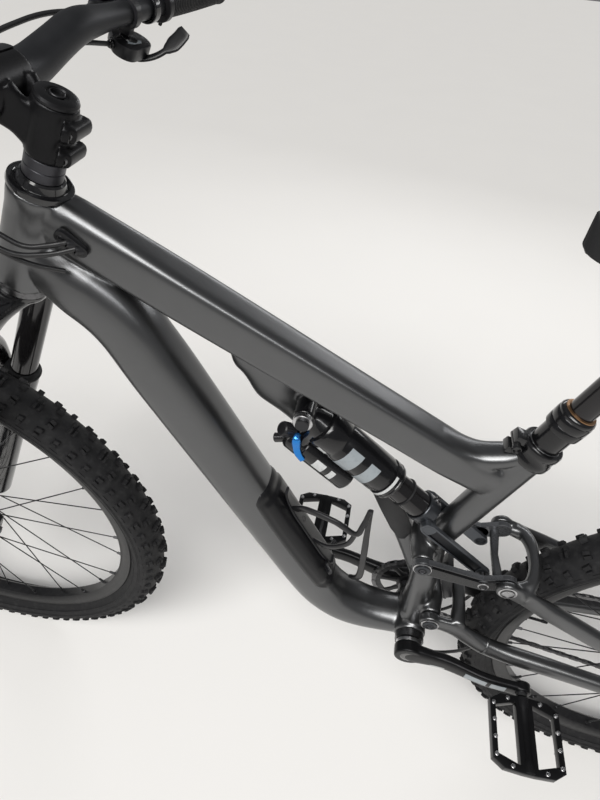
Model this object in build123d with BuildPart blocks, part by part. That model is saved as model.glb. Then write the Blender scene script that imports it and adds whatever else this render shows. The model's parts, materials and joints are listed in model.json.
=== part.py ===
from build123d import *
import math
import os

# Full-suspension trail mountain bike, in millimetres, +X forward, +Y to the rider's left, +Z up.
# The origin is on the ground, under the middle of the bike's length.
# Side-view numbers below are (forward, up) from the bottom bracket centre, as on a frame drawing.

# ---------------------------------------------------------------- driving dimensions
BOTTOM_BRACKET_HEIGHT = 338.0    # ground to crank axis
BOTTOM_BRACKET_BACK = 169.05     # crank axis behind the middle of the bike's length

REACH, STACK = 474.0, 624.2      # head tube's top, from the crank axis
HEAD_ANGLE = 65.65               # degrees from level
HEAD_TUBE_LENGTH = 109.6
HEAD_BORE = 22.0
STEERER_RADIUS = 14.3
STEERER_FLARE = 19.0

FORK_LENGTH = 555.6              # bottom of the head tube to the front axle, along the steering axis
FORK_OFFSET = 44.0               # front axle ahead of the steering axis
FORK_TRAVEL = 150.0
LEG_FORWARD = 10.0               # fork legs ahead of the steering axis
LEG_SIDE = 70.0
STANCHION_RADIUS = 18.0
RUNNING = 0.05                   # radial clearance of every running fit
GAP = 0.3                        # clearance between pieces that move past each other

REAR_AXLE = (-452.3, 34.0)
FRONT_TYRE_RADIUS, FRONT_TYRE_HALF = 374.0, 31.0
REAR_TYRE_RADIUS, REAR_TYRE_HALF = 372.0, 29.0
RIM_TOP, RIM_BED = 317.7, 297.0  # radii of the rim's edge and of the face that holds the spokes
SPOKES = 28

CRANK_LENGTH = 170.0
CRANK_BOSS_OUT = 72.0            # outer face of each crank arm at the spindle, from the middle
PEDAL_FACE = 86.0                # outer face of each crank arm at the pedal
PEDAL_SIZE = 100.0
CRANK_DROP = 1.0                 # degrees: the left crank points back and slightly down
SHELL_HALF = 36.5                # half the width of the bottom bracket shell
SPINDLE_RADIUS = 12.0
CHAINRING_TEETH, COG_TEETH = 32, 21
LINK_PITCH = 12.7

MAIN_PIVOT = (-17.0, 66.0)
AXLE_PIVOT = (-418.0, 20.0)      # chainstay to seatstay pivot, just ahead of the rear axle
ROCKER_PIVOT = (26.0, 207.0)
STAY_PIVOT = (-82.0, 210.0)      # rocker to seatstay pivot
YOKE_PIVOT = (-55.0, 198.0)      # rocker to shock yoke pivot
SHOCK_EYE = (207.0, 405.0)

SEAT_TOP = (-79.0, 501.0)        # top of the dropper post's outer tube
SEAT_BEND = (14.0, 215.0)        # where the seat tube turns down to the crank
SEAT_TUBE_RADIUS = 19.0
DROPPER_RADIUS = 14.0
DROPPER_TRAVEL = 100.0

DOWN_TUBE_RADIUS = 36.0
DOWN_TUBE_WALL = 2.2
TOP_TUBE_RADIUS = 23.0
BAR_RADIUS = 11.1
BAR_CLAMP_RADIUS = 17.5
BAR_HALF_WIDTH = 400.0

os.makedirs("parts", exist_ok=True)


# ---------------------------------------------------------------- places and planes
def spot(forward, up, left=0.0):
    """A point given from the crank axis, in the model's own frame."""
    return Vector(forward - BOTTOM_BRACKET_BACK, left, up + BOTTOM_BRACKET_HEIGHT)


def side(left=0.0):
    """The side-view drawing plane: sketch x is forward, sketch y is up, and its normal is to the right."""
    return Plane(origin=spot(0, 0, left), x_dir=(1, 0, 0), z_dir=(0, -1, 0))


def across(place, left=0.0):
    """A plane facing left at a side-view place, for anything turned about a left-right axis."""
    return Plane(origin=spot(place[0], place[1], left), x_dir=(1, 0, 0), z_dir=(0, 1, 0))


def along(start, end):
    """A plane at start whose normal points to end, with its y axis to the left where it can be."""
    normal = (end - start).normalized()
    sideways = Vector(0, 1, 0) if abs(normal.Y) < 0.99 else Vector(0, 0, 1)
    return Plane(origin=start, x_dir=sideways.cross(normal), z_dir=normal)


HEAD_TILT = math.radians(HEAD_ANGLE)
STEER = Plane(
    origin=spot(REACH, STACK),
    x_dir=(math.sin(HEAD_TILT), 0, math.cos(HEAD_TILT)),
    z_dir=(-math.cos(HEAD_TILT), 0, math.sin(HEAD_TILT)),
)
FORWARD = STEER.x_dir


def steer(forward, left, up):
    """A point on the steering assembly: ahead of its axis, to the left, and up from the head tube's top."""
    return STEER.from_local_coords(Vector(forward, left, up))


def steer_across(forward, up, left=0.0):
    """A plane facing left on the steering assembly."""
    return Plane(origin=steer(forward, left, up), x_dir=FORWARD, z_dir=(0, 1, 0))


AXLE_UP = -(HEAD_TUBE_LENGTH + FORK_LENGTH)
FRONT_AXLE = STEER.from_local_coords(Vector(FORK_OFFSET, 0, AXLE_UP))
FRONT_PLACE = (FRONT_AXLE.X + BOTTOM_BRACKET_BACK, FRONT_AXLE.Z - BOTTOM_BRACKET_HEIGHT)

SEAT_AXIS = along(spot(*SEAT_BEND), spot(*SEAT_TOP))
SEAT_LENGTH = (spot(*SEAT_TOP) - spot(*SEAT_BEND)).length
SHOCK_AXIS = along(spot(*SHOCK_EYE), spot(*YOKE_PIVOT))
SHOCK_SPAN = (spot(*YOKE_PIVOT) - spot(*SHOCK_EYE)).length


# ---------------------------------------------------------------- small builders
def rod(plane, radius, length, mode=Mode.ADD):
    """A round bar standing on a plane."""
    with Locations(plane):
        Cylinder(radius, length, align=(Align.CENTER, Align.CENTER, Align.MIN), mode=mode)


def rod_between(start, end, radius, mode=Mode.ADD):
    """A round bar from one point to another."""
    rod(along(start, end), radius, (end - start).length, mode)


def cone(plane, low_radius, high_radius, length, mode=Mode.ADD):
    """A tapered round bar standing on a plane."""
    with Locations(plane):
        Cone(low_radius, high_radius, length, align=(Align.CENTER, Align.CENTER, Align.MIN), mode=mode)


def block(plane, length, width, height, mode=Mode.ADD):
    """A box centred on a plane's origin."""
    with Locations(plane):
        Box(length, width, height, mode=mode)


def plate(plane, corners, thickness, mode=Mode.ADD):
    """A flat plate with straight edges, drawn on a plane."""
    with BuildSketch(plane) as outline:
        with BuildLine():
            Polyline(*corners, close=True)
        make_face()
    extrude(outline.sketch, amount=thickness, mode=mode)


def link_plate(plane, start, end, start_radius, end_radius, thickness):
    """A flat link between two round ends, drawn on a side-view plane."""
    with BuildSketch(plane) as outline:
        with Locations(start):
            Circle(start_radius)
        with Locations(end):
            Circle(end_radius)
        make_hull()
    extrude(outline.sketch, amount=thickness)


def bar(points, radii, radius, bore=0.0):
    """A round tube along straight runs joined by tangent arcs."""
    with BuildLine() as path:
        FilletPolyline(*points, radius=radii)
    with BuildSketch(along(points[0], points[1])) as section:
        Circle(radius)
        if bore:
            Circle(bore, mode=Mode.SUBTRACT)
    sweep(section.sketch, path=path.line)


def finish(builder, label):
    """Name a finished piece and write it."""
    builder.part.label = label
    export_step(builder.part, f"parts/{label}.step")


def turn_point(centre, radius, degrees, left):
    """A point on a circle about a left-right axis: 0 degrees is forward, 90 is up."""
    angle = math.radians(degrees)
    return centre + Vector(radius * math.cos(angle), left, radius * math.sin(angle))


# ---------------------------------------------------------------- front triangle
HEAD_FOOT = STEER.offset(-HEAD_TUBE_LENGTH)

with BuildPart() as head_tube:
    cone(HEAD_FOOT, 31.0, 27.5, HEAD_TUBE_LENGTH)
    rod(HEAD_FOOT.offset(-1), HEAD_BORE, HEAD_TUBE_LENGTH + 2, mode=Mode.SUBTRACT)
finish(head_tube, "head_tube")

SEAT_KNEE = spot(*SEAT_BEND)
SEAT_FOOT = spot(-6, 14)
TOP_TUBE_FRONT, TOP_TUBE_REAR = spot(484, 607), spot(-22, 353)
with BuildPart() as top_tube:
    rod_between(TOP_TUBE_FRONT, TOP_TUBE_REAR, TOP_TUBE_RADIUS)
    rod_between(TOP_TUBE_FRONT, TOP_TUBE_REAR, TOP_TUBE_RADIUS - 1.8, mode=Mode.SUBTRACT)
    rod(HEAD_FOOT.offset(-30), 32.0, HEAD_TUBE_LENGTH + 60, mode=Mode.SUBTRACT)
    rod(SEAT_AXIS, SEAT_TUBE_RADIUS, SEAT_LENGTH, mode=Mode.SUBTRACT)
    # the shock's front eye hangs from two ears under the tube
    for left in (-20, 14):
        with BuildSketch(side(left + 6)) as ear:
            with BuildLine():
                Polyline((196, 446), (192, 400), (207, 390), (222, 400), (252, 476), close=True)
            make_face()
        extrude(ear.sketch, amount=6)
    rod(across(SHOCK_EYE, -30), 4.0, 60, mode=Mode.SUBTRACT)
finish(top_tube, "top_tube")

DOWN_TUBE_CORNER = spot(126, -12)
DOWN_TUBE_HEAD = spot(415, 497)
DOWN_TUBE_POINTS = [spot(20, -10), DOWN_TUBE_CORNER, DOWN_TUBE_HEAD, spot(500, 560)]
with BuildPart() as down_tube:
    bar(DOWN_TUBE_POINTS, [130, 150], DOWN_TUBE_RADIUS, DOWN_TUBE_RADIUS - DOWN_TUBE_WALL)
    rod(HEAD_FOOT.offset(-40), 32.0, HEAD_TUBE_LENGTH + 80, mode=Mode.SUBTRACT)
    rod_between(TOP_TUBE_FRONT, TOP_TUBE_REAR, TOP_TUBE_RADIUS + 0.02, mode=Mode.SUBTRACT)
    rod(across((0, 0), -60), 24.0, 120, mode=Mode.SUBTRACT)
    rod_between(SEAT_FOOT, SEAT_KNEE, SEAT_TUBE_RADIUS + 1, mode=Mode.SUBTRACT)
finish(down_tube, "down_tube")

BOSS_HALF = 37.0
PIVOT_HALF = 32.0
SEAT_TUBE_TOP = 224.0            # along the seat axis from its bend
with BuildPart() as seat_tube:
    rod(SEAT_AXIS, SEAT_TUBE_RADIUS, SEAT_TUBE_TOP)
    rod_between(SEAT_FOOT, SEAT_KNEE, SEAT_TUBE_RADIUS)
    with Locations(SEAT_KNEE):
        Sphere(SEAT_TUBE_RADIUS + 0.5)
    rod(across(ROCKER_PIVOT, -BOSS_HALF), 15.0, 2 * BOSS_HALF)
    rod(across(MAIN_PIVOT, -PIVOT_HALF), 16.0, 2 * PIVOT_HALF)
    rod(SEAT_AXIS.offset(38), 17.5, SEAT_LENGTH, mode=Mode.SUBTRACT)
    rod(across(ROCKER_PIVOT, -60), 6.0, 120, mode=Mode.SUBTRACT)
    rod(across(MAIN_PIVOT, -60), 7.0, 120, mode=Mode.SUBTRACT)
    rod(across((0, 0), -60), 24.0, 120, mode=Mode.SUBTRACT)
finish(seat_tube, "seat_tube")

# the arm runs from the top tube down the right-hand side of the shock to the foot of the seat tube
ARM_HALF = 11.0
with BuildPart() as side_arm:
    with BuildSketch(side(-29)) as arm_outline:
        with BuildLine():
            Polyline(
                (300, 478), (254, 416), (175, 323), (112, 250), (74, 188), (44, 130), (22, 96),
                (-8, 100), (10, 143), (30, 176), (60, 224), (92, 268), (148, 352), (176, 432),
                close=True,
            )
        make_face()
    extrude(arm_outline.sketch, amount=2 * ARM_HALF)
    # a lug ties the arm's foot to the seat tube, and its head to the top tube
    with BuildSketch(side(0)) as foot_outline:
        with BuildLine():
            Polyline((44, 130), (22, 96), (-8, 100), (10, 143), (30, 176), (56, 152), close=True)
        make_face()
    extrude(foot_outline.sketch, amount=30)
    with BuildSketch(side(-8)) as head_outline:
        with BuildLine():
            Polyline((300, 478), (254, 420), (196, 420), (186, 445), close=True)
        make_face()
    extrude(head_outline.sketch, amount=25)
    rod_between(SEAT_FOOT, SEAT_KNEE, SEAT_TUBE_RADIUS, mode=Mode.SUBTRACT)
    rod_between(TOP_TUBE_FRONT, TOP_TUBE_REAR, TOP_TUBE_RADIUS, mode=Mode.SUBTRACT)
    plate(side(-13.9), [(180, 500), (180, 380), (262, 380), (262, 500)], 6.2, mode=Mode.SUBTRACT)
    rod(across(SHOCK_EYE, -28), 17.0, 30, mode=Mode.SUBTRACT)
finish(side_arm, "side_arm")

with BuildPart() as bottom_bracket_shell:
    rod(across((0, 0), -SHELL_HALF), 24.0, 2 * SHELL_HALF)
    rod(across((0, 0), -SHELL_HALF), 17.2, 2 * SHELL_HALF, mode=Mode.SUBTRACT)
finish(bottom_bracket_shell, "bottom_bracket_shell")

# the storage door is a shell on the down tube's upper face, along its straight lower stretch
DOOR_PLANE = along(DOWN_TUBE_CORNER, DOWN_TUBE_HEAD)
DOOR_START, DOOR_END = 95.0, 320.0
DOOR_THICK = 3.0
DOOR_EDGE = 12.0                 # the door's long edges, above the tube's middle plane
with BuildPart() as storage_door:
    rod(DOOR_PLANE.offset(DOOR_START), DOWN_TUBE_RADIUS + DOOR_THICK, DOOR_END - DOOR_START)
    rod(DOOR_PLANE.offset(DOOR_START - 1), DOWN_TUBE_RADIUS, DOOR_END - DOOR_START + 2, mode=Mode.SUBTRACT)
    with Locations(DOOR_PLANE.location * Location((-DOOR_EDGE, 0, 0))):
        Box(90, 90, 800, align=(Align.MIN, Align.CENTER, Align.CENTER), mode=Mode.SUBTRACT)
finish(storage_door, "storage_door")

# a bottle cage screwed to the door: a spine, two open hoops and a shelf
BOTTLE_RADIUS = 37.0
BOTTLE_AXIS = Plane(
    origin=DOOR_PLANE.from_local_coords(Vector(-(DOWN_TUBE_RADIUS + DOOR_THICK + 4 + BOTTLE_RADIUS), 0, 0)),
    x_dir=DOOR_PLANE.x_dir,
    z_dir=DOOR_PLANE.z_dir,
)
with BuildPart() as bottle_cage:
    for foot, height in ((135, 16), (225, 16)):
        rod(BOTTLE_AXIS.offset(foot), BOTTLE_RADIUS + 3, height)
    rod(BOTTLE_AXIS.offset(118), BOTTLE_RADIUS + 3, 4)
    rod(BOTTLE_AXIS.offset(122), BOTTLE_RADIUS, 140, mode=Mode.SUBTRACT)
    with Locations(BOTTLE_AXIS.offset(160)):
        Box(60, 120, 200, align=(Align.MAX, Align.CENTER, Align.MIN), mode=Mode.SUBTRACT)
    with Locations(BOTTLE_AXIS.location * Location((BOTTLE_RADIUS, 0, 118))):
        Box(4, 26, 150, align=(Align.MIN, Align.CENTER, Align.MIN))
finish(bottle_cage, "bottle_cage")

# headset and bottom bracket bearings, pressed into the frame
BEARING_HIGH = 12.0
CUP_OUT = 10.0
with BuildPart() as frame_bearings:
    rod(STEER.offset(-BEARING_HIGH), HEAD_BORE, BEARING_HIGH)
    rod(STEER.offset(-BEARING_HIGH - 1), STEERER_RADIUS + RUNNING, BEARING_HIGH + 2, mode=Mode.SUBTRACT)
    rod(HEAD_FOOT, HEAD_BORE, BEARING_HIGH)
    rod(HEAD_FOOT.offset(-8), 28.0, 8)
    rod(HEAD_FOOT.offset(-9), STEERER_FLARE + RUNNING, BEARING_HIGH + 10, mode=Mode.SUBTRACT)
    for start in (SHELL_HALF, -SHELL_HALF - CUP_OUT):
        rod(across((0, 0), start), 22.0, CUP_OUT)
    for start in (SHELL_HALF - 10, -SHELL_HALF):
        rod(across((0, 0), start), 17.2, 10)
    rod(across((0, 0), -60), SPINDLE_RADIUS + RUNNING, 120, mode=Mode.SUBTRACT)
finish(frame_bearings, "frame_bearings")

with BuildPart() as frame_pivot_bolts:
    rod(across(ROCKER_PIVOT, -46.5), 6.0, 93)
    rod(across(MAIN_PIVOT, -47.5), 7.0, 95)
    rod(across(SHOCK_EYE, -22), 4.0, 44)
    for left in (-25, 20.2):
        rod(across(SHOCK_EYE, left), 8.0, 4.8)
    for place, out, radius in ((ROCKER_PIVOT, 46.5, 11.0), (MAIN_PIVOT, 47.5, 11.0)):
        rod(across(place, out), radius, 1.5)
        rod(across(place, -out - 1.5), radius, 1.5)
finish(frame_pivot_bolts, "frame_pivot_bolts")

# ---------------------------------------------------------------- seat post and saddle
COLLAR_LOW, COLLAR_HIGH = 196.0, 222.0
with BuildPart() as seat_collar:
    rod(SEAT_AXIS.offset(COLLAR_LOW), SEAT_TUBE_RADIUS + 4.5, COLLAR_HIGH - COLLAR_LOW)
    with Locations(SEAT_AXIS.offset((COLLAR_LOW + COLLAR_HIGH) / 2).location * Location((-25, 0, 0))):
        Box(16, 18, 20)
    rod(SEAT_AXIS.offset(COLLAR_LOW - 1), SEAT_TUBE_RADIUS, 40, mode=Mode.SUBTRACT)
finish(seat_collar, "seat_collar")

OUTER_TUBE_LENGTH = 252.0
with BuildPart() as dropper_outer_tube:
    foot = SEAT_AXIS.offset(SEAT_LENGTH - OUTER_TUBE_LENGTH)
    rod(foot, 17.4, OUTER_TUBE_LENGTH)
    rod(SEAT_AXIS.offset(SEAT_LENGTH - 26), 20.5, 26)
    rod(foot.offset(6), DROPPER_RADIUS + RUNNING, OUTER_TUBE_LENGTH, mode=Mode.SUBTRACT)
finish(dropper_outer_tube, "dropper_outer_tube")

POST_HEAD = SEAT_LENGTH + DROPPER_TRAVEL + 6
RAIL_UP = POST_HEAD + 22
RAIL_SIDE = 22.0
RAIL_RADIUS = 3.5
with BuildPart() as dropper_post:
    rod(SEAT_AXIS.offset(SEAT_LENGTH - 130), DROPPER_RADIUS, POST_HEAD - SEAT_LENGTH + 130)
    with Locations(SEAT_AXIS.offset(POST_HEAD + 7)):
        Box(36, 34, 14)
    with Locations(SEAT_AXIS.offset(POST_HEAD + 14.5)):
        Box(30, 60, 9)
    for left in (-RAIL_SIDE, RAIL_SIDE):
        groove = SEAT_AXIS.offset(RAIL_UP).location * Location((0, left, 0))
        with Locations(Plane(origin=groove.position, x_dir=(0, 1, 0), z_dir=(1, 0, 0))):
            Cylinder(RAIL_RADIUS + 0.02, 120, mode=Mode.SUBTRACT)
finish(dropper_post, "dropper_post")

CLAMP_TOP = SEAT_AXIS.offset(RAIL_UP).origin
SADDLE_LOW = CLAMP_TOP.Z + 14
SADDLE_HIGH = BOTTOM_BRACKET_HEIGHT + 668
SADDLE_NOSE = spot(14, 0).X
SADDLE_LENGTH = 262.0
with BuildPart() as saddle_rails:
    for left in (-RAIL_SIDE, RAIL_SIDE):
        front = Vector(SADDLE_NOSE - 34, left * 0.35, SADDLE_LOW + 4)
        rear = Vector(SADDLE_NOSE - SADDLE_LENGTH + 34, left * 1.3, SADDLE_LOW + 4)
        bar(
            [front, Vector(CLAMP_TOP.X + 66, left, CLAMP_TOP.Z), Vector(CLAMP_TOP.X - 60, left, CLAMP_TOP.Z), rear],
            [30, 30],
            RAIL_RADIUS,
        )
finish(saddle_rails, "saddle_rails")

with BuildPart() as saddle:
    with BuildSketch(Plane.XY.offset(SADDLE_LOW)) as pad:
        with BuildLine():
            nose = SADDLE_NOSE
            tail = SADDLE_NOSE - SADDLE_LENGTH
            Spline((nose, 0), (nose - 12, 17), (nose - 110, 26), (nose - 200, 66), (tail + 12, 70), (tail, 40))
            Line((tail, 40), (tail, 0))
            mirror(about=Plane.XZ)
        make_face()
    extrude(amount=SADDLE_HIGH - SADDLE_LOW)
finish(saddle, "saddle")

# ---------------------------------------------------------------- fork
CROWN_TOP = -HEAD_TUBE_LENGTH - 8.5
CROWN_LOW = -165.0
CROWN_ARCH = -135.5              # underside between the legs, clear of the tyre at full travel
CROWN_BACK, CROWN_FRONT = -22.0, 34.0
STEERER_TOP = 84.0
STANCHION_LOW = -530.0


def leg_plane(left, up):
    """A plane across one fork leg, facing up the steering axis."""
    return Plane(origin=steer(LEG_FORWARD, left, up), x_dir=FORWARD, z_dir=STEER.z_dir)


with BuildPart() as fork_crown:
    crown_back = Plane(origin=steer(CROWN_BACK, 0, 0), x_dir=(0, 1, 0), z_dir=FORWARD)
    plate(
        crown_back,
        [
            (-42, CROWN_TOP), (42, CROWN_TOP), (90, CROWN_TOP - 10), (94, CROWN_TOP - 20), (94, CROWN_LOW),
            (44, CROWN_LOW), (40, CROWN_ARCH), (-40, CROWN_ARCH), (-44, CROWN_LOW), (-94, CROWN_LOW),
            (-94, CROWN_TOP - 20), (-90, CROWN_TOP - 10),
        ],
        CROWN_FRONT - CROWN_BACK,
    )
    rod(STEER.offset(CROWN_TOP), STEERER_FLARE, 20)
    rod(STEER.offset(CROWN_TOP), STEERER_RADIUS, STEERER_TOP - CROWN_TOP)
    rod(STEER.offset(CROWN_TOP), STEERER_RADIUS - 2.2, STEERER_TOP - CROWN_TOP + 1, mode=Mode.SUBTRACT)
    for left in (-LEG_SIDE, LEG_SIDE):
        rod(leg_plane(left, CROWN_LOW - 1), STANCHION_RADIUS, -CROWN_LOW + CROWN_TOP - 10, mode=Mode.SUBTRACT)
finish(fork_crown, "fork_crown")

STANCHION_TOP = CROWN_TOP - 11.0
with BuildPart() as fork_stanchions:
    for left in (-LEG_SIDE, LEG_SIDE):
        rod(leg_plane(left, STANCHION_LOW), STANCHION_RADIUS, STANCHION_TOP - STANCHION_LOW)
        rod(leg_plane(left, STANCHION_LOW - 1), STANCHION_RADIUS - 2, STANCHION_TOP - STANCHION_LOW - 8,
            mode=Mode.SUBTRACT)
finish(fork_stanchions, "fork_stanchions")

LOWERS_TOP = -346.6
LOWERS_FOOT = -696.0
LEG_RADIUS_TOP, LEG_RADIUS_FOOT = 23.5, 21.0
HUB_HALF = 55.0                  # half the distance between the fork's dropouts
FRONT_AXLE_RADIUS = 7.5
FRONT_BORE = 5.0
with BuildPart() as fork_lowers:
    for sign in (-1, 1):
        left = sign * LEG_SIDE
        cone(leg_plane(left, LOWERS_FOOT), LEG_RADIUS_FOOT, LEG_RADIUS_TOP, LOWERS_TOP - LOWERS_FOOT)
        start = HUB_HALF if sign > 0 else -HUB_HALF - 17
        rod(steer_across(FORK_OFFSET, AXLE_UP, start), 17.0, 17)
        block(steer_across(28, AXLE_UP, start + 8.5), 34, 44, 17)
        # the arch stands in front of the legs
        block(steer_across(36, -368, left), 40, 36, 30)
    arch_plane = Plane(origin=steer(40, 0, 0), x_dir=(0, 1, 0), z_dir=FORWARD)
    with BuildSketch(arch_plane) as arch:
        with BuildLine():
            ThreePointArc((-86, -372), (0, -264), (86, -372))
            Line((86, -372), (48, -372))
            ThreePointArc((48, -372), (0, -281), (-48, -372))
            Line((-48, -372), (-86, -372))
        make_face()
    extrude(arch.sketch, amount=15)
    # the left leg carries the brake caliper's two posts on its rear side
    for up in (-585, -640):
        block(steer_across(-16, up, 58), 20, 12, 14)
    for left in (-LEG_SIDE, LEG_SIDE):
        rod(leg_plane(left, LOWERS_FOOT + 8), STANCHION_RADIUS + RUNNING, 400, mode=Mode.SUBTRACT)
    rod(steer_across(FORK_OFFSET, AXLE_UP, -100), FRONT_AXLE_RADIUS, 200, mode=Mode.SUBTRACT)
finish(fork_lowers, "fork_lowers")

FRONT_AXLE_HALF = HUB_HALF + 17
with BuildPart() as front_axle:
    rod(steer_across(FORK_OFFSET, AXLE_UP, -FRONT_AXLE_HALF), FRONT_AXLE_RADIUS, 2 * FRONT_AXLE_HALF)
    rod(steer_across(FORK_OFFSET, AXLE_UP, FRONT_AXLE_HALF), 11.0, 4)
    rod(steer_across(FORK_OFFSET, AXLE_UP, -100), FRONT_BORE, 200, mode=Mode.SUBTRACT)
finish(front_axle, "front_axle")

ROTOR_SIDE = 41.0
ROTOR_THICK = 1.8
with BuildPart() as front_caliper:
    block(steer_across(-32, -612, ROTOR_SIDE + 4), 34, 64, 30)
    rod(steer_across(-30, -612, ROTOR_SIDE + 19), 15.0, 3)
    with Locations(steer_across(FORK_OFFSET, AXLE_UP, ROTOR_SIDE)):
        Cylinder(104, ROTOR_THICK + 2, mode=Mode.SUBTRACT)
    for left in (-LEG_SIDE, LEG_SIDE):
        rod(leg_plane(left, LOWERS_FOOT), LEG_RADIUS_TOP + 0.2, 350, mode=Mode.SUBTRACT)
    for up in (-585, -640):
        block(steer_across(-16, up, 58), 20, 12, 14, mode=Mode.SUBTRACT)
finish(front_caliper, "front_caliper")

# ---------------------------------------------------------------- cockpit
BAR_FORWARD, BAR_UP = 50.0, 69.0
STEM_LOW, STEM_HIGH = 34.0, 80.0
with BuildPart() as headset_spacers:
    cone(STEER.offset(GAP), 28.0, 20.0, 13.7)
    rod(STEER.offset(14), 18.0, STEM_LOW - 14)
    rod(STEER.offset(GAP - 1), STEERER_RADIUS, 60, mode=Mode.SUBTRACT)
    rod(STEER.offset(STEERER_TOP), 18.0, 6)
finish(headset_spacers, "headset_spacers")

CLAMP_HALF = 26.0
FACE_FORWARD = BAR_FORWARD + 0.5
with BuildPart() as stem:
    rod(STEER.offset(STEM_LOW), 20.0, STEM_HIGH - STEM_LOW + 4)
    rod(steer_across(BAR_FORWARD, BAR_UP, -CLAMP_HALF), BAR_CLAMP_RADIUS + 4.5, 2 * CLAMP_HALF)
    with BuildSketch(steer_across(0, 0, -15)) as neck:
        with BuildLine():
            Polyline((6, -38), (44, -50), (44, -88), (6, -80), close=True)
        make_face()
    extrude(neck.sketch, amount=30)
    block(steer_across(-21, 57, 0), 14, 40, 26)
    rod(STEER.offset(STEM_LOW - 1), STEERER_RADIUS, 60, mode=Mode.SUBTRACT)
    rod(steer_across(BAR_FORWARD, BAR_UP, -60), BAR_CLAMP_RADIUS, 120, mode=Mode.SUBTRACT)
    with Locations(steer_across(FACE_FORWARD + 30, BAR_UP, 0)):
        Box(60, 80, 80, mode=Mode.SUBTRACT)
finish(stem, "stem")

with BuildPart() as stem_faceplate:
    rod(steer_across(BAR_FORWARD, BAR_UP, -CLAMP_HALF), BAR_CLAMP_RADIUS + 4.5, 2 * CLAMP_HALF)
    rod(steer_across(BAR_FORWARD, BAR_UP, -60), BAR_CLAMP_RADIUS, 120, mode=Mode.SUBTRACT)
    with Locations(steer_across(FACE_FORWARD + 1 - 30, BAR_UP, 0)):
        Box(60, 80, 80, mode=Mode.SUBTRACT)
finish(stem_faceplate, "stem_faceplate")

BAR_RISE = 28.0
BEND_SIDE, GRIP_SIDE = 115.0, 266.0
BACK_SWEEP, UP_SWEEP = math.tan(math.radians(8)), math.tan(math.radians(5))


def bar_point(left, lift=0.0, ahead=0.0):
    """A point on the handlebar's straight outer part, or beside it."""
    out = abs(left) - BEND_SIDE
    return steer(BAR_FORWARD - 3 - out * BACK_SWEEP + ahead, left, BAR_UP + BAR_RISE + out * UP_SWEEP + lift)


with BuildPart() as handlebar:
    bar(
        [
            bar_point(-BAR_HALF_WIDTH), bar_point(-BEND_SIDE), steer(BAR_FORWARD, -48, BAR_UP),
            steer(BAR_FORWARD, 48, BAR_UP), bar_point(BEND_SIDE), bar_point(BAR_HALF_WIDTH),
        ],
        [80, 80, 80, 80],
        BAR_RADIUS,
        BAR_RADIUS - 2.2,
    )
    rod(steer_across(BAR_FORWARD, BAR_UP, -36), BAR_CLAMP_RADIUS, 72)
finish(handlebar, "handlebar")

GRIP_RADIUS = 15.5
with BuildPart() as handlebar_grips:
    for sign in (-1, 1):
        rod_between(bar_point(sign * GRIP_SIDE), bar_point(sign * (BAR_HALF_WIDTH + 2)), GRIP_RADIUS)
        rod_between(bar_point(sign * (GRIP_SIDE - 9)), bar_point(sign * GRIP_SIDE), GRIP_RADIUS + 2.5)
        rod_between(bar_point(sign * 200), bar_point(sign * BAR_HALF_WIDTH), BAR_RADIUS, mode=Mode.SUBTRACT)
finish(handlebar_grips, "handlebar_grips")

# each brake's clamp and master cylinder sit inboard of the grip, and its blade hangs ahead of the grip
BRAKE_SIDE = 236.0
LEVER_PIVOT_AHEAD, LEVER_PIVOT_DROP = 44.0, -16.0
LEVER_SIDE = 262.0
with BuildPart() as brake_bodies:
    for sign in (-1, 1):
        rod_between(bar_point(sign * (BRAKE_SIDE - 6)), bar_point(sign * (BRAKE_SIDE + 6)), BAR_RADIUS + 4.5)
        rod_between(
            bar_point(sign * (BRAKE_SIDE - 62), -10, 26),
            bar_point(sign * (LEVER_SIDE - 8), -14, 30),
            10.5,
        )
        rod_between(bar_point(sign * BRAKE_SIDE, -4, 10), bar_point(sign * BRAKE_SIDE, -12, 28), 7.0)
        rod_between(bar_point(sign * 150), bar_point(sign * 300), BAR_RADIUS, mode=Mode.SUBTRACT)
finish(brake_bodies, "brake_bodies")


def lever_pivot(sign):
    """The place of a brake lever's pivot."""
    return bar_point(sign * LEVER_SIDE, LEVER_PIVOT_DROP, LEVER_PIVOT_AHEAD)


for lever_sign, lever_name in ((1, "brake_lever_left"), (-1, "brake_lever_right")):
    with BuildPart() as brake_lever:
        pivot = lever_pivot(lever_sign)
        knee = bar_point(lever_sign * (LEVER_SIDE + 30), LEVER_PIVOT_DROP - 4, LEVER_PIVOT_AHEAD + 12)
        tip = bar_point(lever_sign * (LEVER_SIDE + 92), LEVER_PIVOT_DROP - 6, LEVER_PIVOT_AHEAD + 10)
        rod(Plane(origin=pivot - STEER.z_dir * 6, z_dir=STEER.z_dir), 6.5, 12)
        rod_between(pivot, knee, 5.0)
        rod_between(knee, tip, 5.0)
        with Locations(knee, tip):
            Sphere(5.2)
    finish(brake_lever, lever_name)

# the gear shifter hangs under the right side of the bar, and the dropper post's remote under the left
TRIGGER_SIDE = 200.0
with BuildPart() as trigger_housings:
    for sign in (-1, 1):
        rod_between(bar_point(sign * (TRIGGER_SIDE - 5)), bar_point(sign * (TRIGGER_SIDE + 5)), BAR_RADIUS + 4)
        rod_between(bar_point(sign * TRIGGER_SIDE, -6), bar_point(sign * TRIGGER_SIDE, -22, -4), 8.0)
        body = bar_point(sign * TRIGGER_SIDE, -26, -6)
        with Locations(Plane(origin=body, x_dir=FORWARD, z_dir=STEER.z_dir)):
            Box(34, 30, 11) if sign < 0 else Box(20, 16, 11)
        rod_between(bar_point(sign * 150), bar_point(sign * 300), BAR_RADIUS, mode=Mode.SUBTRACT)
finish(trigger_housings, "trigger_housings")

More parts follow.
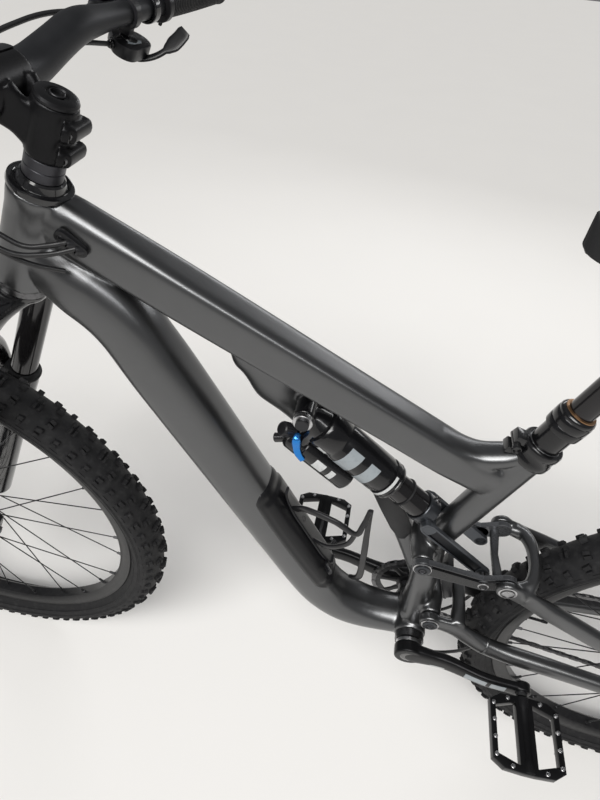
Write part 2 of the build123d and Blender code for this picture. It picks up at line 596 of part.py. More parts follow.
for paddle_sign, paddle_name in ((-1, "shifter_paddle"), (1, "dropper_paddle")):
    with BuildPart() as paddle:
        root_point = bar_point(paddle_sign * TRIGGER_SIDE, -38, -8)
        end_point = bar_point(paddle_sign * (TRIGGER_SIDE + 26), -38, -40)
        axis_plane = Plane(origin=root_point, z_dir=STEER.z_dir)
        rod(axis_plane, 7.0, 6.2)
        with Locations(Plane(origin=(root_point + end_point) * 0.5 + STEER.z_dir * 1.5,
                             x_dir=end_point - root_point, z_dir=STEER.z_dir)):
            Box(44, 14, 4)
    finish(paddle, paddle_name)

# ---------------------------------------------------------------- wheels
def rim(centre, label):
    """A hollow box-section rim."""
    with BuildPart() as ring:
        with BuildSketch(Plane(origin=centre, x_dir=(0, 1, 0), z_dir=(1, 0, 0))):
            with BuildLine():
                Polyline(
                    (-11, RIM_BED), (11, RIM_BED), (16, RIM_BED + 11), (16, RIM_TOP), (13, RIM_TOP),
                    (13, RIM_BED + 13), (-13, RIM_BED + 13), (-13, RIM_TOP), (-16, RIM_TOP),
                    (-16, RIM_BED + 11), close=True,
                )
            make_face()
            with BuildLine():
                Polyline((-10, RIM_BED + 2), (10, RIM_BED + 2), (14, RIM_BED + 10.8), (-14, RIM_BED + 10.8),
                         close=True)
            make_face(mode=Mode.SUBTRACT)
        revolve(axis=Axis(centre, (0, 1, 0)))
    finish(ring, label)


def tyre(centre, radius, half, label):
    """An open tyre casing whose beads sit inside the rim."""
    middle = radius - half
    bead = RIM_BED + 13.2
    with BuildPart() as casing:
        with BuildSketch(Plane(origin=centre, x_dir=(0, 1, 0), z_dir=(1, 0, 0))):
            with Locations((0, middle)):
                Circle(half)
                Circle(half - 4, mode=Mode.SUBTRACT)
            with Locations((0, RIM_TOP + 0.2)):
                Rectangle(4 * half, 2 * half, align=(Align.CENTER, Align.MAX), mode=Mode.SUBTRACT)
            for sign in (-1, 1):
                with Locations((sign * 11.4, (bead + RIM_TOP + 2) / 2)):
                    Rectangle(2.6, RIM_TOP + 2 - bead)
        revolve(axis=Axis(centre, (0, 1, 0)))
    finish(casing, label)


def spokes(centre, left_flange, right_flange, flange_radius, label):
    """Crossed spokes; leading and trailing ones leave opposite faces of each flange."""
    step = 360 / SPOKES
    with BuildPart() as wires:
        for index in range(SPOKES):
            on_left = index % 2 == 0
            leading = (index // 2) % 2 == 0
            flange = left_flange if on_left else -right_flange
            face = 2.6 if leading == on_left else -2.6
            rim_angle = index * step
            hub_angle = rim_angle + (74 if leading else -74)
            start = turn_point(centre, flange_radius - 3, hub_angle, flange + face)
            end = turn_point(centre, RIM_BED + 0.6, rim_angle, 3 if on_left else -3)
            rod_between(start, end, 1.0)
    finish(wires, label)


def rotor(centre, radius, left, label):
    """A ventilated brake rotor with a band, six arms and a hub ring."""
    plane = Plane(origin=centre + Vector(0, left - ROTOR_THICK / 2, 0), x_dir=(1, 0, 0), z_dir=(0, 1, 0))
    with BuildPart() as disc:
        with BuildSketch(plane) as face:
            Circle(radius)
            Circle(radius - 15, mode=Mode.SUBTRACT)
            with PolarLocations(0, 6):
                with Locations((0, (radius + 8) / 2)):
                    Rectangle(8, radius - 28, rotation=18)
            Circle(26)
            Circle(17.1, mode=Mode.SUBTRACT)
            with PolarLocations(radius - 7.5, 24):
                Circle(3, mode=Mode.SUBTRACT)
        extrude(face.sketch, amount=ROTOR_THICK)
    finish(disc, label)


REAR_CENTRE = spot(*REAR_AXLE)
FRONT_CENTRE = spot(*FRONT_PLACE)
FRONT_FLANGES = (24.0, 33.0, 26.0)    # left and right flange from the middle, and flange radius
REAR_FLANGES = (33.0, 21.0, 28.0)
REAR_HALF = 74.0                      # half the distance between the rear dropouts
REAR_AXLE_RADIUS, REAR_BORE = 6.0, 3.5
REAR_ROTOR_SIDE = 58.0
FREEHUB_RADIUS = 14.0

for centre, flanges, radius, half, end_name in (
    (FRONT_CENTRE, FRONT_FLANGES, FRONT_TYRE_RADIUS, FRONT_TYRE_HALF, "front"),
    (REAR_CENTRE, REAR_FLANGES, REAR_TYRE_RADIUS, REAR_TYRE_HALF, "rear"),
):
    rim(centre, f"{end_name}_rim")
    tyre(centre, radius, half, f"{end_name}_tyre")
    spokes(centre, *flanges, f"{end_name}_spokes")

rotor(FRONT_CENTRE, 100.0, ROTOR_SIDE, "front_rotor")
rotor(REAR_CENTRE, 100.0, REAR_ROTOR_SIDE, "rear_rotor")


def hub_flange(centre, left, radius):
    """A spoke flange with a hole for each of its spokes."""
    rod(Plane(origin=centre + Vector(0, left - 1.5, 0), x_dir=(1, 0, 0), z_dir=(0, 1, 0)), radius, 3)


with BuildPart() as front_hub:
    barrel = across(FRONT_PLACE, -HUB_HALF + GAP)
    rod(barrel, 13.0, 2 * (HUB_HALF - GAP))
    rod(across(FRONT_PLACE, -30), 17.0, 62)
    rod(across(FRONT_PLACE, 30), 17.1, ROTOR_SIDE + 4 - 30)
    hub_flange(FRONT_CENTRE, FRONT_FLANGES[0], FRONT_FLANGES[2] + 3)
    hub_flange(FRONT_CENTRE, -FRONT_FLANGES[1], FRONT_FLANGES[2] + 3)
    rod(across(FRONT_PLACE, -60), FRONT_AXLE_RADIUS + RUNNING, 120, mode=Mode.SUBTRACT)
finish(front_hub, "front_hub")

with BuildPart() as rear_hub:
    rod(across(REAR_AXLE, -REAR_HALF + GAP), FREEHUB_RADIUS, REAR_HALF - 20)
    rod(across(REAR_AXLE, -24), 19.0, 64)
    rod(across(REAR_AXLE, 30), 17.1, REAR_ROTOR_SIDE + 4 - 30)
    rod(across(REAR_AXLE, 55), 13.0, REAR_HALF - 55 - GAP)
    hub_flange(REAR_CENTRE, REAR_FLANGES[0], REAR_FLANGES[2] + 3)
    hub_flange(REAR_CENTRE, -REAR_FLANGES[1], REAR_FLANGES[2] + 3)
    rod(across(REAR_AXLE, -90), REAR_AXLE_RADIUS + RUNNING, 180, mode=Mode.SUBTRACT)
finish(rear_hub, "rear_hub")

with BuildPart() as rear_axle:
    rod(across(REAR_AXLE, -REAR_HALF - 12), REAR_AXLE_RADIUS, 2 * REAR_HALF + 24)
    rod(across(REAR_AXLE, REAR_HALF + 12), 10.0, 3)
    rod(across(REAR_AXLE, -100), REAR_BORE, 200, mode=Mode.SUBTRACT)
finish(rear_axle, "rear_axle")

# ---------------------------------------------------------------- drivetrain
COG_TEETH_LIST = (51, 45, 39, 33, 28, 24, 21, 18, 16, 14, 12, 10)
COG_START, COG_STEP, COG_THICK = 26.5, 3.7, 1.8
with BuildPart() as cassette:
    rod(across(REAR_AXLE, -COG_START - 11 * COG_STEP - COG_THICK), 17.5, 11 * COG_STEP + COG_THICK)
    for index, teeth in enumerate(COG_TEETH_LIST):
        outer = LINK_PITCH / (2 * math.sin(math.pi / teeth)) + 2.5
        rod(across(REAR_AXLE, -COG_START - index * COG_STEP - COG_THICK), outer, COG_THICK)
    rod(across(REAR_AXLE, -90), FREEHUB_RADIUS + RUNNING, 90, mode=Mode.SUBTRACT)
finish(cassette, "cassette")

LEFT_CRANK = 180 + CRANK_DROP
ARM_PROFILE = ((-24, 54), (-24, CRANK_BOSS_OUT), (60, CRANK_BOSS_OUT + 2), (120, PEDAL_FACE),
               (CRANK_LENGTH + 14, PEDAL_FACE), (CRANK_LENGTH + 14, 71), (118, 71), (56, 55))
with BuildPart() as crank_arms:
    for sign, angle in ((1, math.radians(LEFT_CRANK)), (-1, math.radians(LEFT_CRANK - 180))):
        direction = Vector(math.cos(angle), 0, math.sin(angle))
        upright = Vector(-math.sin(angle), 0, math.cos(angle))
        top_view = Plane(origin=spot(0, 0), x_dir=direction, z_dir=upright)
        turned = 1 if top_view.y_dir.Y > 0 else -1
        with BuildSketch(top_view) as profile:
            with BuildLine():
                Polyline(*[(length, turned * sign * out) for length, out in ARM_PROFILE], close=True)
            make_face()
        with BuildSketch(Plane(origin=spot(0, 0, sign * 50), x_dir=direction, z_dir=(0, sign, 0))) as face:
            Circle(22)
            with Locations((CRANK_LENGTH, 0)):
                Circle(14)
            make_hull()
        arm = extrude(profile.sketch, amount=40, both=True, mode=Mode.PRIVATE)
        outline = extrude(face.sketch, amount=60, mode=Mode.PRIVATE)
        add(arm & outline)
    rod(across((0, 0), -CRANK_BOSS_OUT), SPINDLE_RADIUS, 2 * CRANK_BOSS_OUT - 2)
    rod(across((0, 0), -90), SPINDLE_RADIUS - 2.5, 180, mode=Mode.SUBTRACT)
    for sign, angle in ((1, LEFT_CRANK), (-1, LEFT_CRANK - 180)):
        hole = turn_point(spot(0, 0), CRANK_LENGTH, angle, 0)
        rod(Plane(origin=hole - Vector(0, 120, 0), x_dir=(1, 0, 0), z_dir=(0, 1, 0)), 6.5, 240, mode=Mode.SUBTRACT)
finish(crank_arms, "crank_arms")

RING_SIDE = -52.0
RING_RADIUS = LINK_PITCH / (2 * math.sin(math.pi / CHAINRING_TEETH))
with BuildPart() as chainring:
    with BuildSketch(across((0, 0), RING_SIDE - 1.8)) as ring_face:
        Circle(RING_RADIUS + 3)
        Circle(SPINDLE_RADIUS, mode=Mode.SUBTRACT)
        with PolarLocations(RING_RADIUS, CHAINRING_TEETH):
            Circle(4.0, mode=Mode.SUBTRACT)
        with PolarLocations(40, 8):
            Circle(9, mode=Mode.SUBTRACT)
    extrude(ring_face.sketch, amount=3.6)
finish(chainring, "chainring")

PEDAL_CENTRES = {
    "left": turn_point(spot(0, 0), CRANK_LENGTH, LEFT_CRANK, PEDAL_FACE + 6 + PEDAL_SIZE / 2),
    "right": turn_point(spot(0, 0), CRANK_LENGTH, LEFT_CRANK - 180, -(PEDAL_FACE + 6 + PEDAL_SIZE / 2)),
}
PEDAL_AXLE_RADIUS = 5.0
with BuildPart() as pedal_axles:
    for name, middle in PEDAL_CENTRES.items():
        sign = 1 if name == "left" else -1
        inner = Vector(middle.X, sign * (PEDAL_FACE - 14), middle.Z)
        face = Vector(middle.X, sign * PEDAL_FACE, middle.Z)
        collar = Vector(middle.X, sign * (PEDAL_FACE + 5), middle.Z)
        tip = Vector(middle.X, middle.Y + sign * 40, middle.Z)
        rod_between(inner, face, 6.5)
        rod_between(face, collar, 9.0)
        rod_between(collar, tip, PEDAL_AXLE_RADIUS)
finish(pedal_axles, "pedal_axles")

for name, middle in PEDAL_CENTRES.items():
    sign = 1 if name == "left" else -1
    with BuildPart() as pedal:
        with BuildSketch(Plane(origin=middle - Vector(0, 0, 7), x_dir=(1, 0, 0), z_dir=(0, 0, 1))) as cage:
            Rectangle(PEDAL_SIZE, PEDAL_SIZE)
            for forward in (-27, 27):
                with Locations((forward, 0)):
                    Rectangle(30, 72, mode=Mode.SUBTRACT)
        extrude(cage.sketch, amount=14)
        inner = Vector(middle.X, middle.Y - sign * 50, middle.Z)
        outer = Vector(middle.X, middle.Y + sign * 45, middle.Z)
        rod_between(inner, outer, 8.5)
        with Locations(*[middle + Vector(x, y, 0) for x in (-44, 44) for y in (-40, -14, 14, 40)]):
            Cylinder(1.6, 22)
        with Locations(*[middle + Vector(x, y, 0) for x in (0,) for y in (-44, 44)]):
            Cylinder(1.6, 22)
        bore_end = Vector(middle.X, middle.Y + sign * 41, middle.Z)
        rod_between(inner - Vector(0, sign * 2, 0), bore_end, PEDAL_AXLE_RADIUS + RUNNING, mode=Mode.SUBTRACT)
    finish(pedal, f"pedal_{name}")

# ---------------------------------------------------------------- rear suspension
STAY_RADIUS = 11.0
PLATE_IN, PLATE_OUT = PIVOT_HALF + GAP, 46.7
EYE_IN, EYE_OUT = 66.0, REAR_HALF - GAP
with BuildPart() as chainstays:
    for sign in (-1, 1):
        start = PLATE_IN if sign > 0 else -PLATE_OUT
        plane = side(start + PLATE_OUT - PLATE_IN)
        link_plate(plane, MAIN_PIVOT, (-56, 62), 16, 18, PLATE_OUT - PLATE_IN)
        bar(
            [spot(-46, 62, sign * 40), spot(-100, 35, sign * 43), spot(-300, 31, sign * 62.5)],
            [60],
            STAY_RADIUS,
        )
        outer = EYE_OUT if sign > 0 else -EYE_IN
        link_plate(side(outer), (-292, 31), AXLE_PIVOT, 13, 11, EYE_OUT - EYE_IN)
        rod(across(AXLE_PIVOT, -90), 5.0 + RUNNING, 180, mode=Mode.SUBTRACT)
        rod(across(MAIN_PIVOT, -60), 7.0 + RUNNING, 120, mode=Mode.SUBTRACT)
    block(across((-56, 66)), 24, 36, 2 * PLATE_IN + 2)
finish(chainstays, "chainstays")

SEATSTAY_RADIUS = 9.0
STAY_IN, STAY_OUT = 46.8, 56.0
DROPOUT_OUT = REAR_HALF + 11.0
HANGER = (-462.0, 8.0)
OPEN_BOLT = 5.0
with BuildPart() as seatstays:
    for sign in (-1, 1):
        outer = STAY_OUT if sign > 0 else -STAY_IN
        link_plate(side(outer), STAY_PIVOT, (-118, 194), 14, 11, STAY_OUT - STAY_IN)
        bar(
            [spot(-104, 200, sign * 51), spot(-150, 180, sign * 53), spot(-428, 56, sign * 78)],
            [120],
            SEATSTAY_RADIUS,
        )
        outer = DROPOUT_OUT if sign > 0 else -REAR_HALF
        link_plate(side(outer), REAR_AXLE, AXLE_PIVOT, 16, 13, DROPOUT_OUT - REAR_HALF)
        link_plate(side(outer), REAR_AXLE, (-424, 58), 14, 10, DROPOUT_OUT - REAR_HALF)
        rod_between(spot(*STAY_PIVOT, sign * 38), spot(*STAY_PIVOT, sign * (STAY_OUT + 1)), OPEN_BOLT)
        rod_between(spot(*AXLE_PIVOT, sign * EYE_IN), spot(*AXLE_PIVOT, sign * DROPOUT_OUT), 5.0)
    rod(across((-108, 216), -STAY_OUT + 2), 9.0, 2 * STAY_OUT - 4)
    rod(across(REAR_AXLE, -100), REAR_AXLE_RADIUS, 200, mode=Mode.SUBTRACT)
    # the derailleur hangs from a lug under the right dropout
    link_plate(side(-REAR_HALF - 3), REAR_AXLE, HANGER, 12, 9, 8)
    rod(across(HANGER, -REAR_HALF - 12), 5.0, 10, mode=Mode.SUBTRACT)
    rod(across(REAR_AXLE, -100), REAR_AXLE_RADIUS, 200, mode=Mode.SUBTRACT)
finish(seatstays, "seatstays")

with BuildPart() as rear_caliper:
    calliper_plane = Plane(origin=spot(-392, 103, REAR_ROTOR_SIDE - 2), x_dir=(1, 0, -1), z_dir=(0, 1, 0))
    block(calliper_plane, 60, 32, 28)
    with Locations(across(REAR_AXLE, REAR_ROTOR_SIDE)):
        Cylinder(105, ROTOR_THICK + 2, mode=Mode.SUBTRACT)
    rod_between(spot(-104, 200, 51), spot(-150, 180, 53), SEATSTAY_RADIUS + GAP, mode=Mode.SUBTRACT)
    rod_between(spot(-150, 180, 53), spot(-428, 56, 78), SEATSTAY_RADIUS, mode=Mode.SUBTRACT)
finish(rear_caliper, "rear_caliper")

ROCKER_IN, ROCKER_OUT = BOSS_HALF + 0.5, 46.0
YOKE_BOLT = 4.0
OPEN_CLEARANCE = 3.9             # slack in the holes of the two pivots that are left open
with BuildPart() as rocker_link:
    for sign in (-1, 1):
        outer = ROCKER_OUT if sign > 0 else -ROCKER_IN
        plane = side(outer)
        link_plate(plane, ROCKER_PIVOT, YOKE_PIVOT, 14, 13, ROCKER_OUT - ROCKER_IN)
        link_plate(plane, YOKE_PIVOT, STAY_PIVOT, 13, 13, ROCKER_OUT - ROCKER_IN)
    rod(across((-73, 205), -ROCKER_IN - 1), 5.0, 2 * ROCKER_IN + 2)
    rod(across(ROCKER_PIVOT, -60), 6.0 + RUNNING, 120, mode=Mode.SUBTRACT)
    for start in (-60, ROCKER_IN - 1):
        rod(across(YOKE_PIVOT, start), YOKE_BOLT + OPEN_CLEARANCE, 61 - ROCKER_IN, mode=Mode.SUBTRACT)
        rod(across(STAY_PIVOT, start), OPEN_BOLT + OPEN_CLEARANCE, 61 - ROCKER_IN, mode=Mode.SUBTRACT)
finish(rocker_link, "rocker_link")

SHAFT_RADIUS = 18.0
CAN_RADIUS = 25.5
CAN_START, CAN_END = 30.0, 150.0
RESERVOIR_DROP = 43.0


def beside_shock(along_shock, across_shock=0.0, left=0.0):
    """A place on the shock: distance from its front eye, then up from its axis, then to the left."""
    return SHOCK_AXIS.from_local_coords(Vector(across_shock, left, along_shock))


with BuildPart() as shock_body:
    rod(across(SHOCK_EYE, -13.7), 13.0, 27.4)
    block(SHOCK_AXIS.offset(12), 26, 27.4, 12)
    rod(SHOCK_AXIS.offset(18), 18.0, CAN_START - 16)
    rod(SHOCK_AXIS.offset(CAN_START), CAN_RADIUS, CAN_END - CAN_START)
    reservoir_foot = beside_shock(14, -RESERVOIR_DROP)
    reservoir_end = beside_shock(112, -RESERVOIR_DROP)
    rod_between(reservoir_foot, reservoir_end, 17.0)
    block(Plane(origin=beside_shock(26, -RESERVOIR_DROP / 2), x_dir=SHOCK_AXIS.x_dir, z_dir=SHOCK_AXIS.z_dir),
          RESERVOIR_DROP, 26, 20)
    rod(SHOCK_AXIS.offset(CAN_START + 4), SHAFT_RADIUS + RUNNING, CAN_END, mode=Mode.SUBTRACT)
    rod(across(SHOCK_EYE, -30), 4.0 + RUNNING, 60, mode=Mode.SUBTRACT)
finish(shock_body, "shock_body")

YOKE_START = 214.0
ARM_IN, ARM_OUT = 22.3, 28.3
with BuildPart() as shock_shaft:
    rod(SHOCK_AXIS.offset(90), SHAFT_RADIUS, YOKE_START - 90)
    block(SHOCK_AXIS.offset(YOKE_START + 6), 26, 2 * ARM_OUT, 12)
    for sign in (-1, 1):
        middle = sign * (ARM_IN + ARM_OUT) / 2
        arm_middle = beside_shock((YOKE_START + SHOCK_SPAN) / 2, 0, middle)
        block(Plane(origin=arm_middle, x_dir=SHOCK_AXIS.x_dir, z_dir=SHOCK_AXIS.z_dir),
              17, ARM_OUT - ARM_IN, SHOCK_SPAN - YOKE_START)
        rod_between(spot(*YOKE_PIVOT, sign * ARM_IN), spot(*YOKE_PIVOT, sign * ARM_OUT), 9.0)
        rod_between(spot(*YOKE_PIVOT, sign * ARM_OUT), spot(*YOKE_PIVOT, sign * 46.4), YOKE_BOLT)
        rod_between(spot(*YOKE_PIVOT, sign * 46.4), spot(*YOKE_PIVOT, sign * 48), 7.0)
finish(shock_shaft, "shock_shaft")

LEVER_PLACE = beside_shock(14, -26, 13.2)
with BuildPart() as shock_lever:
    rod(Plane(origin=LEVER_PLACE, x_dir=(1, 0, 0), z_dir=(0, 1, 0)), 6.0, 8)
    tip = LEVER_PLACE + SHOCK_AXIS.z_dir * 16 - SHOCK_AXIS.x_dir * 16 + Vector(0, 6.5, 0)
    block(along(LEVER_PLACE + Vector(0, 6.5, 0), tip).offset(12), 7, 3, 24)
finish(shock_lever, "shock_lever")

# ---------------------------------------------------------------- derailleur and chain
GUIDE_PULLEY, TENSION_PULLEY = (-446.0, -48.0), (-414.0, -124.0)
PULLEY_TEETH = 12
CHAIN_SIDE = -52.2
CHAIN_HALF_WIDTH = 3.0
BAND = 2.0                       # half the depth of the chain's solid band
PULLEY_RADIUS = LINK_PITCH / (2 * math.sin(math.pi / PULLEY_TEETH))
with BuildPart() as derailleur_cage:
    for left in (CHAIN_SIDE + 6.5, CHAIN_SIDE - 4.5):
        link_plate(side(left), GUIDE_PULLEY, TENSION_PULLEY, 12, 12, 2)
    for place in (GUIDE_PULLEY, TENSION_PULLEY):
        rod(across(place, CHAIN_SIDE - 6.5), 3.0, 13)
        rod(across(place, CHAIN_SIDE - 1), 5.0, 2)
        with BuildSketch(across(place, CHAIN_SIDE - 1)) as pulley:
            Circle(PULLEY_RADIUS + 1.5)
            Circle(5.3, mode=Mode.SUBTRACT)
            with PolarLocations(PULLEY_RADIUS, PULLEY_TEETH):
                Circle(3.9, mode=Mode.SUBTRACT)
        extrude(pulley.sketch, amount=2)
finish(derailleur_cage, "derailleur_cage")

CAGE_PIVOT = (-452.0, -36.0)
with BuildPart() as derailleur_body:
    rod(across(HANGER, -REAR_HALF - 23), 9.0, 11.7)
    rod(across(CAGE_PIVOT, CHAIN_SIDE - 22), 13.0, 15)
    block(along(spot(*HANGER, -REAR_HALF - 19), spot(*CAGE_PIVOT, CHAIN_SIDE - 16)).offset(18), 15, 8, 34)
    rod_between(spot(*HANGER, -REAR_HALF - 14), spot(*HANGER, -REAR_HALF - 3.5), 5.0)
finish(derailleur_body, "derailleur_body")


def belt_face(wheels, plane):
    """The area inside a belt round some wheels, given as (place, radius, turn), turn being +1 or -1."""
    points = []
    count = len(wheels)
    for index in range(count):
        (start, first, turn), (end, second, next_turn) = wheels[index], wheels[(index + 1) % count]
        gap = Vector(end[0] - start[0], end[1] - start[1])
        heading = math.atan2(gap.Y, gap.X)
        lean = math.asin((first * turn - second * next_turn) / gap.length)
        normal = heading + lean - math.pi / 2
        points.append((start[0] + turn * first * math.cos(normal), start[1] + turn * first * math.sin(normal)))
        points.append((end[0] + next_turn * second * math.cos(normal),
                       end[1] + next_turn * second * math.sin(normal)))
    with BuildSketch(plane) as area:
        with BuildLine():
            for index in range(count):
                Line(points[2 * index], points[2 * index + 1])
                centre, radius, turn = wheels[(index + 1) % count]
                before, after = points[2 * index + 1], points[(2 * index + 2) % (2 * count)]
                start_angle = math.atan2(before[1] - centre[1], before[0] - centre[0])
                sweep_angle = (math.atan2(after[1] - centre[1], after[0] - centre[0]) - start_angle) * turn
                middle = start_angle + turn * (sweep_angle % (2 * math.pi)) / 2
                ThreePointArc(
                    before,
                    (centre[0] + radius * math.cos(middle), centre[1] + radius * math.sin(middle)),
                    after,
                )
        make_face()
    return area.sketch


COG_RADIUS = LINK_PITCH / (2 * math.sin(math.pi / COG_TEETH))
TIP = GAP + BAND
CHAIN_WHEELS = (
    ((0, 0), RING_RADIUS + 3 + TIP, 1),
    (REAR_AXLE, COG_RADIUS + 2.5 + TIP, 1),
    (GUIDE_PULLEY, PULLEY_RADIUS + 1.5 + TIP, -1),
    (TENSION_PULLEY, PULLEY_RADIUS + 1.5 + TIP, 1),
)
with BuildPart() as chain:
    chain_plane = side(CHAIN_SIDE + CHAIN_HALF_WIDTH)
    outside = belt_face([(place, radius + turn * BAND, turn) for place, radius, turn in CHAIN_WHEELS], chain_plane)
    inside = belt_face([(place, radius - turn * BAND, turn) for place, radius, turn in CHAIN_WHEELS], chain_plane)
    extrude(outside, amount=2 * CHAIN_HALF_WIDTH)
    extrude(inside, amount=2 * CHAIN_HALF_WIDTH, mode=Mode.SUBTRACT)
finish(chain, "chain")

# ---------------------------------------------------------------- hoses and cable housings
HOUSING_RADIUS = 2.5


def housing(points, name):
    """A hose or cable housing: straight runs joined by arcs as large as the runs allow."""
    radii = []
    for before, corner, after in zip(points, points[1:], points[2:]):
        turn = math.radians((corner - before).get_angle(after - corner))
        shorter = min((corner - before).length, (after - corner).length)
        radii.append(0.45 * shorter / math.tan(turn / 2))
    print(name, "arc radii", [round(radius) for radius in radii])
    bar(points, radii, HOUSING_RADIUS)


PORT_ROWS = (-36.0, -43.0, -50.0)
with BuildPart() as cable_housings:
    housing(
        [bar_point(-176, -26, -4), steer(52, -134, 76), steer(82, -82, 52), steer(94, -22, 20),
         steer(78, 34, -6), steer(32, 54, -26), steer(-16, 45, -36), steer(-49, 29.5, PORT_ROWS[0])],
        "shifter housing",
    )
    housing(
        [bar_point(-173, -10, 26), steer(86, -130, 84), steer(108, -76, 58), steer(114, -16, 22),
         steer(94, 42, -8), steer(44, 66, -28), steer(-12, 56, -41), steer(-51, 33, PORT_ROWS[1])],
        "rear brake hose",
    )
    housing(
        [bar_point(188, -26, -6), steer(58, 140, 64), steer(74, 92, 32), steer(56, 66, -8),
         steer(16, 54, -45), steer(-22, 44, -52), steer(-50, 30, PORT_ROWS[2])],
        "dropper housing",
    )
    housing(
        [bar_point(173, -10, 26), steer(94, 142, 66), steer(108, 112, 22), steer(96, 101, -38),
         steer(70, 100, -96), steer(48, 101, -160), steer(41, 100.5, -226), steer(38, 99.5, -292),
         steer(34, 99, -358), steer(26, 98.5, -424), steer(6, 98, -490), steer(-24, 88, -545),
         steer(-34, 62, -580)],
        "front brake hose",
    )
finish(cable_housings, "cable_housings")

with BuildPart() as rear_housings:
    for sign in (-1, 1):
        housing(
            [spot(14, -42, sign * 31), spot(-24, -52, sign * 33), spot(-58, -38, sign * 36),
             spot(-82, -8, sign * 40), spot(-94, 23, sign * 42.5)],
            "rear loop",
        )
    housing(
        [spot(-318, 43, 62), spot(-326, 58, 58), spot(-342, 74, 53), spot(-366.5, 83, 50)],
        "rear brake loop",
    )
finish(rear_housings, "rear_housings")
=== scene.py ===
import json
import math
import random

import bmesh
import bpy
from mathutils import Matrix, Vector


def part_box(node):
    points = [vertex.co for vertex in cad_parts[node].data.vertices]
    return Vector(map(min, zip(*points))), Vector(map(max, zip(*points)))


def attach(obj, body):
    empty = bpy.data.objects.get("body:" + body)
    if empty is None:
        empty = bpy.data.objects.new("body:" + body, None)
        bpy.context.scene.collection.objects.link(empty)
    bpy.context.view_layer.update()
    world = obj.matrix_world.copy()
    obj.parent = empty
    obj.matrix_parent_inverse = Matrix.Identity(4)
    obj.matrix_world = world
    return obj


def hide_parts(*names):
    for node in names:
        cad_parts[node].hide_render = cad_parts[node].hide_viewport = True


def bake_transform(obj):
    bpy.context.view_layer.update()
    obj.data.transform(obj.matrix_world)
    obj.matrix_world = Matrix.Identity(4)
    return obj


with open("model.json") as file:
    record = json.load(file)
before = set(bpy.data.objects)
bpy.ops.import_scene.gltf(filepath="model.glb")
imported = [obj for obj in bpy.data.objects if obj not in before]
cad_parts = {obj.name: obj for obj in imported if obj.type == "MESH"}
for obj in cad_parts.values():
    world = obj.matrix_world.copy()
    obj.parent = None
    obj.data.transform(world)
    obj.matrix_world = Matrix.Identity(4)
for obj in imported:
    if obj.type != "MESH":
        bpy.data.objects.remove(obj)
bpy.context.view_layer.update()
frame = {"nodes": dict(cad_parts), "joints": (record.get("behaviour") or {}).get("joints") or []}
JOINTS = {joint["name"]: joint for joint in frame["joints"]}
MM = 0.001

# ---------------------------------------------------------------- places, in millimetres from the frame's own joints
CRANK = Vector(JOINTS["crank_spin"]["pos_m"])
STEER_TOP = Vector(JOINTS["steering_turn"]["pos_m"])
STEER_UP = Vector(JOINTS["steering_turn"]["axis"]).normalized()
AHEAD = Vector((STEER_UP.z, 0, -STEER_UP.x))
FORWARD = Vector((1, 0, 0))
LEFT = Vector((0, 1, 0))
UP = Vector((0, 0, 1))
SEAT_UP = Vector(JOINTS["dropper_travel"]["axis"]).normalized()
FRONT_AXLE = Vector(JOINTS["front_wheel_spin"]["pos_m"])
REAR_AXLE = Vector(JOINTS["rear_wheel_spin"]["pos_m"])
SHOCK_EYE = Vector(JOINTS["shock_swing"]["pos_m"])
SHOCK_BACK = -Vector(JOINTS["shock_travel"]["axis"]).normalized()
SHOCK_SIDE = Vector((-SHOCK_BACK.z, 0, SHOCK_BACK.x))
if SHOCK_SIDE.z < 0:
    SHOCK_SIDE = -SHOCK_SIDE


def spot(forward, up, left=0.0):
    """A place given from the crank axis."""
    return CRANK + Vector((forward, left, up)) * MM


def steer(forward, left, up):
    """A place on the steering assembly: ahead of its axis, left, and up from the head tube's top."""
    return STEER_TOP + (AHEAD * forward + LEFT * left + STEER_UP * up) * MM


SEAT_BEND = spot(14, 215)

# pivots in the side view, as (forward, up) from the crank axis
ROCKER_PIVOT = (26, 207)
MAIN_PIVOT = (-17, 66)
YOKE_PIN = (-55, 198)
STAY_PIVOT = (-82, 210)
REAR_PIVOT = (-418, 20)
REAR_PLACE = (-452.3, 34)


def seat(along, behind=0.0, left=0.0):
    """A place on the seat tube's axis, from the tube's bend upwards."""
    rear = Vector((-SEAT_UP.z, 0, SEAT_UP.x))
    return SEAT_BEND + (SEAT_UP * along + rear * behind + LEFT * left) * MM


def shock_at(along, above=0.0, left=0.0):
    """A place on the shock: from its front eye towards the yoke, then above its axis, then left."""
    return SHOCK_EYE + (SHOCK_BACK * along + SHOCK_SIDE * above + LEFT * left) * MM


def stand(origin, up, ahead=None):
    """A frame with its z axis along up and its x axis as near as it can be to ahead."""
    up = up.normalized()
    ahead = ahead or (FORWARD if abs(up.x) < 0.9 else UP)
    ahead = (ahead - up * ahead.dot(up)).normalized()
    side = up.cross(ahead)
    return Matrix.Translation(origin) @ Matrix((ahead, side, up)).transposed().to_4x4()


def shifted(place, x, y, z):
    """The same frame moved along its own axes, in millimetres."""
    return place @ Matrix.Translation(Vector((x, y, z)) * MM)


def spun(place, index, count):
    """The same frame turned about its z axis to one of count even steps."""
    return place @ Matrix.Rotation(math.tau * index / count, 4, "Z")


def radial(angle):
    """The side view's direction at an angle from forward."""
    return Vector((math.cos(angle), 0, math.sin(angle)))


